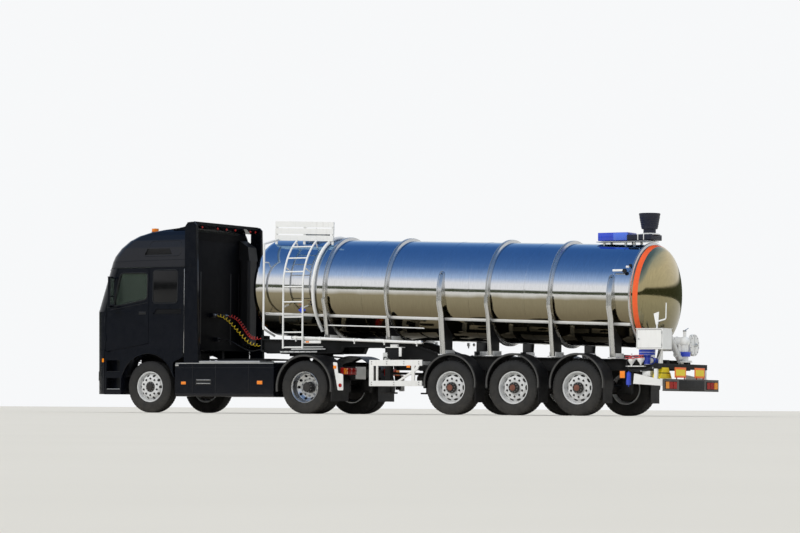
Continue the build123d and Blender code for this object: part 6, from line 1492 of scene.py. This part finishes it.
# Running gear: air reservoirs, brake chambers, leg gearbox and crank
RESERVOIR_Y = -0.25
RESERVOIR_Z = 0.69
CHAMBER_Y = -0.7
CHAMBER_Z = 0.6
STRAPS = (0.8, 1.12)
tank_bodies = both([skin(can(0.125, 0.56, 0.045), 36, "x", (0.7, RESERVOIR_Y, RESERVOIR_Z))])
strap = [(0.1255, 0), (0.1285, 0.002), (0.1285, 0.034), (0.1255, 0.036)]
tank_straps = both([skin(strap, 36, "x", (x, RESERVOIR_Y, RESERVOIR_Z), loop=True) for x in STRAPS])
tank_hangers = both([blocks([(x, x + 0.036, -0.27, -0.23, 0.8, 0.884) for x in STRAPS], edge=0.004)])
chambers = []
for x in TRAILER_AXLES.values():
    chambers += [skin(can(0.078, 0.15, 0.02), 28, "x", (x - 0.29, CHAMBER_Y, CHAMBER_Z)),
                 skin(can(0.086, 0.022, 0.006), 28, "x", (x - 0.215, CHAMBER_Y, CHAMBER_Z)),
                 skin(can(0.012, 0.13, 0.003), 12, "x", (x - 0.145, CHAMBER_Y, CHAMBER_Z))]
gearbox = blocks([(0.265, 0.425, -0.925, -0.86, 1.02, 1.2)], edge=0.02)
crank_line = rounded_path([(0.345, -0.915, 1.11), (0.345, -1.01, 1.11), (0.345, -1.02, 0.86),
                           (0.345, -1.11, 0.855)], 0.03, 6)
piece("running_gear", "trailer", [
    (chassis_paint, tank_bodies + both(chambers) + tank_hangers),
    (pale_grey_paint, both([gearbox])),
    (dark_steel, tank_straps + [tube(crank_line, 0.011, 10, (1, 0, 0))]),
])


# Top of the tank: lid furniture and the docking funnel
lid_ring = on_top(lathe([(0.252, 0.121), (0.256, 0.126), (0.256, 0.15), (0.25, 0.156), (0.236, 0.158),
                         (0.23, 0.166), (0.214, 0.168), (0.196, 0.16), (0.15, 0.176), (0, 0.181)], 72))
clamp_block = blocks([(0.236, 0.292, -0.016, 0.016, 0.1, 0.172)], edge=0.005)
clamp_bolt = heads([(0.262, 0, 0.172)], "z", 1.0)
wing_nut = skin(can(0.012, 0.05, 0.003), 12, "z", (0.262, 0, 0.168))
lid_clamps = []
for angle in (60, 120, 180, 240, 300):
    lid_clamps += [(on_top(turned(grids, "z", radians(angle))), wrap_u, wrap_v)
                   for grids, wrap_u, wrap_v in (clamp_block, clamp_bolt, wing_nut)]
handle_line = rounded_path([(-0.09, 0, 0.172), (-0.085, 0, 0.196), (0.085, 0, 0.196), (0.09, 0, 0.172)],
                           0.02, 5)
piece("manhole_lid_cover", "manhole_lid", [
    (brushed_steel, [(lid_ring, False, True), (on_top(tube(handle_line, 0.008, 10)[0]), False, True)]),
    (nut_steel, lid_clamps),
])

FUNNEL_X = REAR_X - 0.89
FUNNEL_BASE = axis_z(FUNNEL_X) + RING_RADIUS
step = 0.004
bowl = [(0, 0.16), (0.11, 0.16), (0.118, 0.17), (0.118, 0.236), (0.15, 0.244), (0.156, 0.262)]
for k in range(5):
    low = 0.285 + 0.04 * k
    radius = 0.16 + 0.0075 * k
    bowl += [(radius, low), (radius + step, low + 0.004), (radius + step, low + 0.012),
             (radius + 0.001, low + 0.016)]
bowl += [(0.196, 0.5), (0.202, 0.512), (0.202, 0.534), (0.196, 0.54), (0.182, 0.538), (0.178, 0.52),
         (0.15, 0.33), (0.104, 0.262), (0, 0.258)]
funnel_spot = np.array([FUNNEL_X, 0, FUNNEL_BASE])
box_floor = FUNNEL_BASE + 0.028
blue_box = [(REAR_X - 1.882, REAR_X - 1.252, -0.198, 0.198, box_floor, box_floor + 0.155),
            (REAR_X - 1.874, REAR_X - 1.56, -0.2, 0.2, box_floor + 0.06, box_floor + 0.068)]
navy_base = [(REAR_X - 1.252, REAR_X - 0.745, -0.245, 0.245, box_floor, box_floor + 0.106)]
white_hoops = [(x - 0.008, x + 0.008, -0.249, 0.249, box_floor - 0.001, box_floor + 0.11)
               for x in (REAR_X - 1.02, REAR_X - 0.9)]
walk_plate = [(REAR_X - 1.9, REAR_X - 0.8, -0.23, 0.23, box_floor - 0.028, box_floor - 0.014)]
feet = [(x, x + 0.04, y - 0.02, y + 0.02, FUNNEL_BASE - 0.06, box_floor - 0.01)
        for x in (REAR_X - 1.78, REAR_X - 1.33, REAR_X - 1.15) for y in (-0.16, 0.16)]
# Painted glow: a lighter copy of the blue paint over the blue box's rear half, with no light of its own;
# its streaks are real
painted_glow_panel = [(REAR_X - 1.56, REAR_X - 1.254, -0.1995, 0.1995, box_floor + 0.006, box_floor + 0.15)]
painted_glow_blue = finish("painted_glow_blue", (0.08, 0.17, 0.7), rough=0.5, mottle=0.2, streaks=0.25)
piece("docking_funnel_skin", "trailer", [
    (navy_plastic, [(lathe(bowl, 56) + funnel_spot, False, True), blocks(navy_base, edge=0.012)]),
    (blue_paint, [blocks(blue_box, edge=0.01)]),
    (painted_glow_blue, [blocks(painted_glow_panel, edge=0.008)]),
    (white_paint, [blocks(white_hoops, edge=0.003),
                   skin([(0.205, 0), (0.206, 0.01), (0.15, 0.03), (0.119, 0.034)], 40, "z",
                        (FUNNEL_X, 0, box_floor + 0.104))]),
    (brushed_steel, [blocks(walk_plate, edge=0.004), blocks(feet, edge=0.003)]),
    (nut_steel, [heads(ring_of(0.135, 8, "z", (FUNNEL_X, 0, box_floor + 0.126)), "z", 0.7)]),
], replaced=["docking_funnel"], slot="blue_paint")

# Latch and lugs beside the rear rim
latch_z = 2.717
piece("rim_latch", "trailer", [
    (white_paint, [blocks([(5.23, 5.47, -0.96, -0.93, latch_z - 0.02, latch_z + 0.02)], edge=0.006)]),
    (dark_steel, [skin(can(0.04, 0.06, 0.01), 24, "y", (5.47, -0.905, latch_z - 0.01)),
                  skin(can(0.03, 0.05, 0.008), 20, "y", (5.56, -0.84, latch_z + 0.09))]),
    (clear_lens, [skin(can(0.024, 0.06, 0.006), 20, "x", (5.5, -0.93, latch_z + 0.062))]),
])

# Rear end: cabinet between x0 and x1, z0 and z1, then valves, outlet and cover
x0, x1, z0, z1 = REAR_X - 0.598, REAR_X - 0.055, 1.24, 1.618
door_edge = rounded_path([(x0 + 0.02, z0 + 0.02), (x1 - 0.02, z0 + 0.02), (x1 - 0.02, z1 - 0.02),
                          (x0 + 0.02, z1 - 0.02)], 0.02, 4, closed=True)
cabinet_seam = tube(upright(door_edge, -1.2), 0.0032, 6, closed=True)
cabinet_hinges = blocks([(x1 - 0.03, x1 - 0.012, -1.209, -1.196, z, z + 0.05)
                         for z in (z0 + 0.05, z1 - 0.1)], edge=0.004)
cabinet_lock = [skin(can(0.014, 0.012, 0.003), 20, "y", (x0 + 0.055, -1.199, (z0 + z1) / 2)),
                blocks([(x0 + 0.05, x0 + 0.06, -1.214, -1.208, (z0 + z1) / 2 - 0.014,
                         (z0 + z1) / 2 + 0.014)], edge=0.002)]
drip_roof = blocks([(x0 - 0.012, x1 + 0.012, -1.212, -0.795, z1, z1 + 0.008)], edge=0.003)
t_arm = [tube(rounded_path([(6.15, -0.96, z1), (6.15, -0.96, 1.755), (6.33, -0.96, 1.8),
                            (6.338, -0.96, 2.1)], 0.03, 6), [0.015] * 9 + [0.011] * 5, 12),
         prism([(6.128, 1.7), (6.172, 1.7), (6.188, 1.935), (6.085, 1.9)], -0.97, -0.95, "y")]
piece("cabinet_trim", "trailer", [
    (seal_rubber, [cabinet_seam]),
    (white_paint, [drip_roof] + t_arm),
    (nut_steel, [cabinet_hinges] + cabinet_lock),
])

VALVE_X = REAR_X - 0.514
VALVE_Y = -0.9
BRANCH_Z = 1.036
flange_bolts = ring_of(0.12, 8, "z", (VALVE_X, VALVE_Y, 1.133))
valve_head = [(0, 0), (0.146, 0), (0.151, 0.005), (0.151, 0.046), (0.146, 0.051), (0.152, 0.055),
              (0.152, 0.098), (0.146, 0.103), (0, 0.103)]
valve_stock = [(0, 0), (0.052, 0), (0.06, 0.01), (0.06, 0.05), (0.066, 0.06), (0.066, 0.11), (0.06, 0.13),
               (0.075, 0.165), (0.11, 0.178), (0, 0.178)]
blue_valve = [skin(valve_head, 48, "z", (VALVE_X, VALVE_Y, 1.1355)),
              skin(valve_stock, 36, "z", (VALVE_X, VALVE_Y, 0.9585)),
              skin(can(0.054, 0.205, 0.006), 32, "y", (VALVE_X, -0.692, BRANCH_Z), -1),
              skin(can(0.072, 0.022, 0.004), 32, "y", (VALVE_X, -0.706, BRANCH_Z))]
STRAINER_Y = -1.01
strainer = []
red_bars = []
for x, low, high in ((5.655, 0.935, 1.165), (5.845, 0.95, 1.14)):
    length = high - low
    stem = [(0, 0), (0.012, 0), (0.016, 0.006), (0.016, length - 0.02), (0.012, length), (0, length)]
    cup = [(0, 0), (0.018, 0), (0.06, 0.06), (0.064, 0.072), (0.064, 0.118), (0.06, 0.128), (0, 0.13)]
    strainer += [skin(stem, 16, "z", (x, STRAINER_Y, low)), skin(cup, 28, "z", (x, STRAINER_Y, low + 0.02)),
                 skin(can(0.028, 0.15, 0.006), 20, "x", (x - 0.075, STRAINER_Y, low + 0.118))]
    red_bars += [(x - 0.105, x + 0.09, -1.078, -1.062, low + 0.13, low + 0.146),
                 (x - 0.1, x + 0.085, -1.078, -1.062, low + 0.17, low + 0.184),
                 (x - 0.01, x + 0.01, -1.08, STRAINER_Y, low + 0.128, low + 0.186)]
actuator_profile = [(0, 0), (0.01, 0), (0.01, 0.03), (0.044, 0.034), (0.046, 0.04), (0.046, 0.258),
                    (0.044, 0.264), (0.012, 0.268), (0.012, 0.29), (0, 0.29)]
actuator = skin(actuator_profile, 32, "z", (5.662, -1.15, 0.545))
air_lines = [tube(rounded_path(line, 0.09, 9), 0.0085, 9) for line in (
    [(5.64, -1.095, 0.835), (5.9, -1.09, 0.835), (6.13, -1.06, 0.9), (6.255, -1.02, 1.235)],
    [(5.7, -1.08, 0.86), (5.96, -1.075, 0.85), (6.16, -1.04, 0.96), (6.21, -1.005, 1.24)],
    [(5.62, -1.06, 1.12), (5.56, -1.06, 0.96), (5.64, -1.06, 0.84), (5.8, -1.0, 0.82)])]
line_clips = blocks([(5.88, 5.904, -1.108, -1.072, 0.82, 0.85), (6.11, 6.134, -1.08, -1.04, 0.88, 0.912)],
                    edge=0.003)
piece("rear_valves", "trailer", [
    (blue_paint, blue_valve + [actuator]),
    (white_paint, strainer
     + [blocks([(5.56, 5.93, -1.06, -0.96, 0.918, 0.936), (5.9, 6.06, -1.06, -0.9, 0.74, 0.84)],
               edge=0.006)]),
    (hose_red_grip, [blocks(red_bars, edge=0.004)]),
    (nut_steel, [heads(flange_bolts, "z", 0.9), line_clips,
                 heads(ring_of(0.054, 6, "y", (VALVE_X, -0.728, BRANCH_Z)), "y", 0.6)]),
    (amber_lens, [blocks([(5.522, 5.622, -1.232, -1.222, 0.705, 0.835)], edge=0.006)]),
    (black_hose_skin, air_lines),
    (black_plastic, [blocks([(5.514, 5.63, -1.224, -1.2, 0.697, 0.843),
                             (5.545, 5.6, -1.205, -1.12, 0.73, 0.8)], edge=0.005)]),
])

OUTLET_X = REAR_X - 0.16
OUTLET_Z = 1.4
COVER_X = REAR_X - 0.11
COVER_Y = 0.345
COVER_Z = 1.34
elbow_profile = [(0.0845, 0), (0.1, 0.004), (0.1, 0.02), (0.0845, 0.024)]
elbow_rings = [skin(elbow_profile, 40, "x", (REAR_X - back, 0, OUTLET_Z), loop=True)
               for back in (0.56, 0.33)]
collar_profile = [(0.0705, 0), (0.104, 0), (0.1065, 0.004), (0.1065, 0.084), (0.104, 0.088),
                  (0.0705, 0.088)]
collar_ring = skin(collar_profile, 44, "z", (OUTLET_X, 0, 1.1185), loop=True)
cross_bar = blocks([(COVER_X, COVER_X + 0.014, COVER_Y - 0.165, COVER_Y + 0.165, COVER_Z - 0.009,
                     COVER_Z + 0.009),
                    (COVER_X, COVER_X + 0.014, COVER_Y - 0.009, COVER_Y + 0.009, COVER_Z - 0.165,
                     COVER_Z + 0.165)], edge=0.004)
DIAGONAL_X = OUTLET_X - 0.08
diagonal = tube([(DIAGONAL_X, -0.088, 1.078), (DIAGONAL_X, -0.562, 1.562)], 0.0535, 24, (1, 0, 0))
ring_ends = [(-0.09, 1.08), (-0.104, 1.0943)]
diagonal_rings = [tube([(DIAGONAL_X, y - 0.47 * s, z + 0.48 * s) for y, z in ring_ends], 0.072, 24,
                       (1, 0, 0)) for s in (0.16, 0.95)]
lever = [tube(rounded_path([(OUTLET_X, 0.0, 1.56), (OUTLET_X, 0.0, 1.61), (OUTLET_X, 0.16, 1.655)], 0.03,
                           6), 0.009, 10, (1, 0, 0)),
         skin(can(0.034, 0.03, 0.006), 24, "z", (OUTLET_X, 0, 1.586))]
piece("rear_outlet_trim", "trailer", [
    (blue_paint, [collar_ring]),
    (pale_grey_paint, [diagonal] + diagonal_rings),
    (white_paint, elbow_rings + [cross_bar]),
    (brushed_steel, lever + [skin(can(0.03, 0.05, 0.006), 24, "x", (COVER_X, COVER_Y, COVER_Z))]),
    (nut_steel, [heads(ring_of(0.183, 12, "x", (COVER_X, COVER_Y, COVER_Z)), "x", 0.8),
                 heads(ring_of(0.086, 8, "z", (OUTLET_X, 0, 1.207)), "z", 0.7),
                 heads(ring_of(0.12, 8, "z", (OUTLET_X, 0, 1.0325)), "z", 0.9)]),
])

# Lamps, marking plates and the chock at the bumper
lamp_frames = [(REAR_X - 0.0135, REAR_X - 0.0045, y - 0.012, y + 0.498, 0.503, 0.652)
               for y in (-1.175, 0.68)]
PLATES = ((-0.71, -0.21), (0.18, 0.64))
plate_rows = [(REAR_X - 0.0415, REAR_X - 0.0325, y0 - 0.001, y1 + 0.001, 0.719, 0.911) for y0, y1 in PLATES]
plate_middles = [(REAR_X - 0.033, REAR_X - 0.0312, y0 + 0.04, y1 - 0.04, 0.757, 0.873) for y0, y1 in PLATES]
beam_lips = [(REAR_X - 0.05, REAR_X - 0.008, -1.228, 1.228, z, z + 0.012) for z in (0.468, 0.68)]
middle_plate = [(REAR_X - 0.0125, REAR_X - 0.006, -0.56, 0.56, 0.486, 0.672)]
chock = [prism([(-1.08, 0.7), (-0.56, 0.7), (-0.62, 0.796), (-1.01, 0.796)], 6.11, 6.27, "x"),
         prism([(-1.0, 0.808), (-0.628, 0.808), (-0.69, 0.905), (-0.95, 0.905)], 6.118, 6.262, "x")]
chock_strap = blocks([(6.104, 6.276, -1.0, -0.63, 0.795, 0.809)], edge=0.004)
plate_marking = finish("plate_marking", (0.9, 0.16, 0.01), rough=0.4, mottle=0.08)
yellow_marking = finish("yellow_marking", (0.8, 0.62, 0.02), rough=0.4, mottle=0.12)
plate_lamps = [(REAR_X - 0.016, REAR_X - 0.004, y, y + 0.05, 0.655, 0.668) for y in (-0.25, 0.2)]
piece("rear_lamp_trim", "trailer", [
    (black_plastic, [blocks(lamp_frames, edge=0.01), blocks(plate_lamps, edge=0.003)]),
    (plate_marking, [blocks(plate_rows, edge=0.003)]),
    (yellow_marking, [blocks(plate_middles, edge=0.001, steps=1)]),
    (dark_steel, [blocks(beam_lips, edge=0.005)]),
    (chassis_paint, [blocks(middle_plate, edge=0.003)]),
    (nut_steel, [heads([(REAR_X - 0.0325, y, z) for y in (-0.69, -0.23, 0.2, 0.62) for z in (0.74, 0.89)],
                       "x", 0.35)]),
])
piece("wheel_chock", "trailer", [(yellow_plastic, chock), (black_plastic, [chock_strap])])
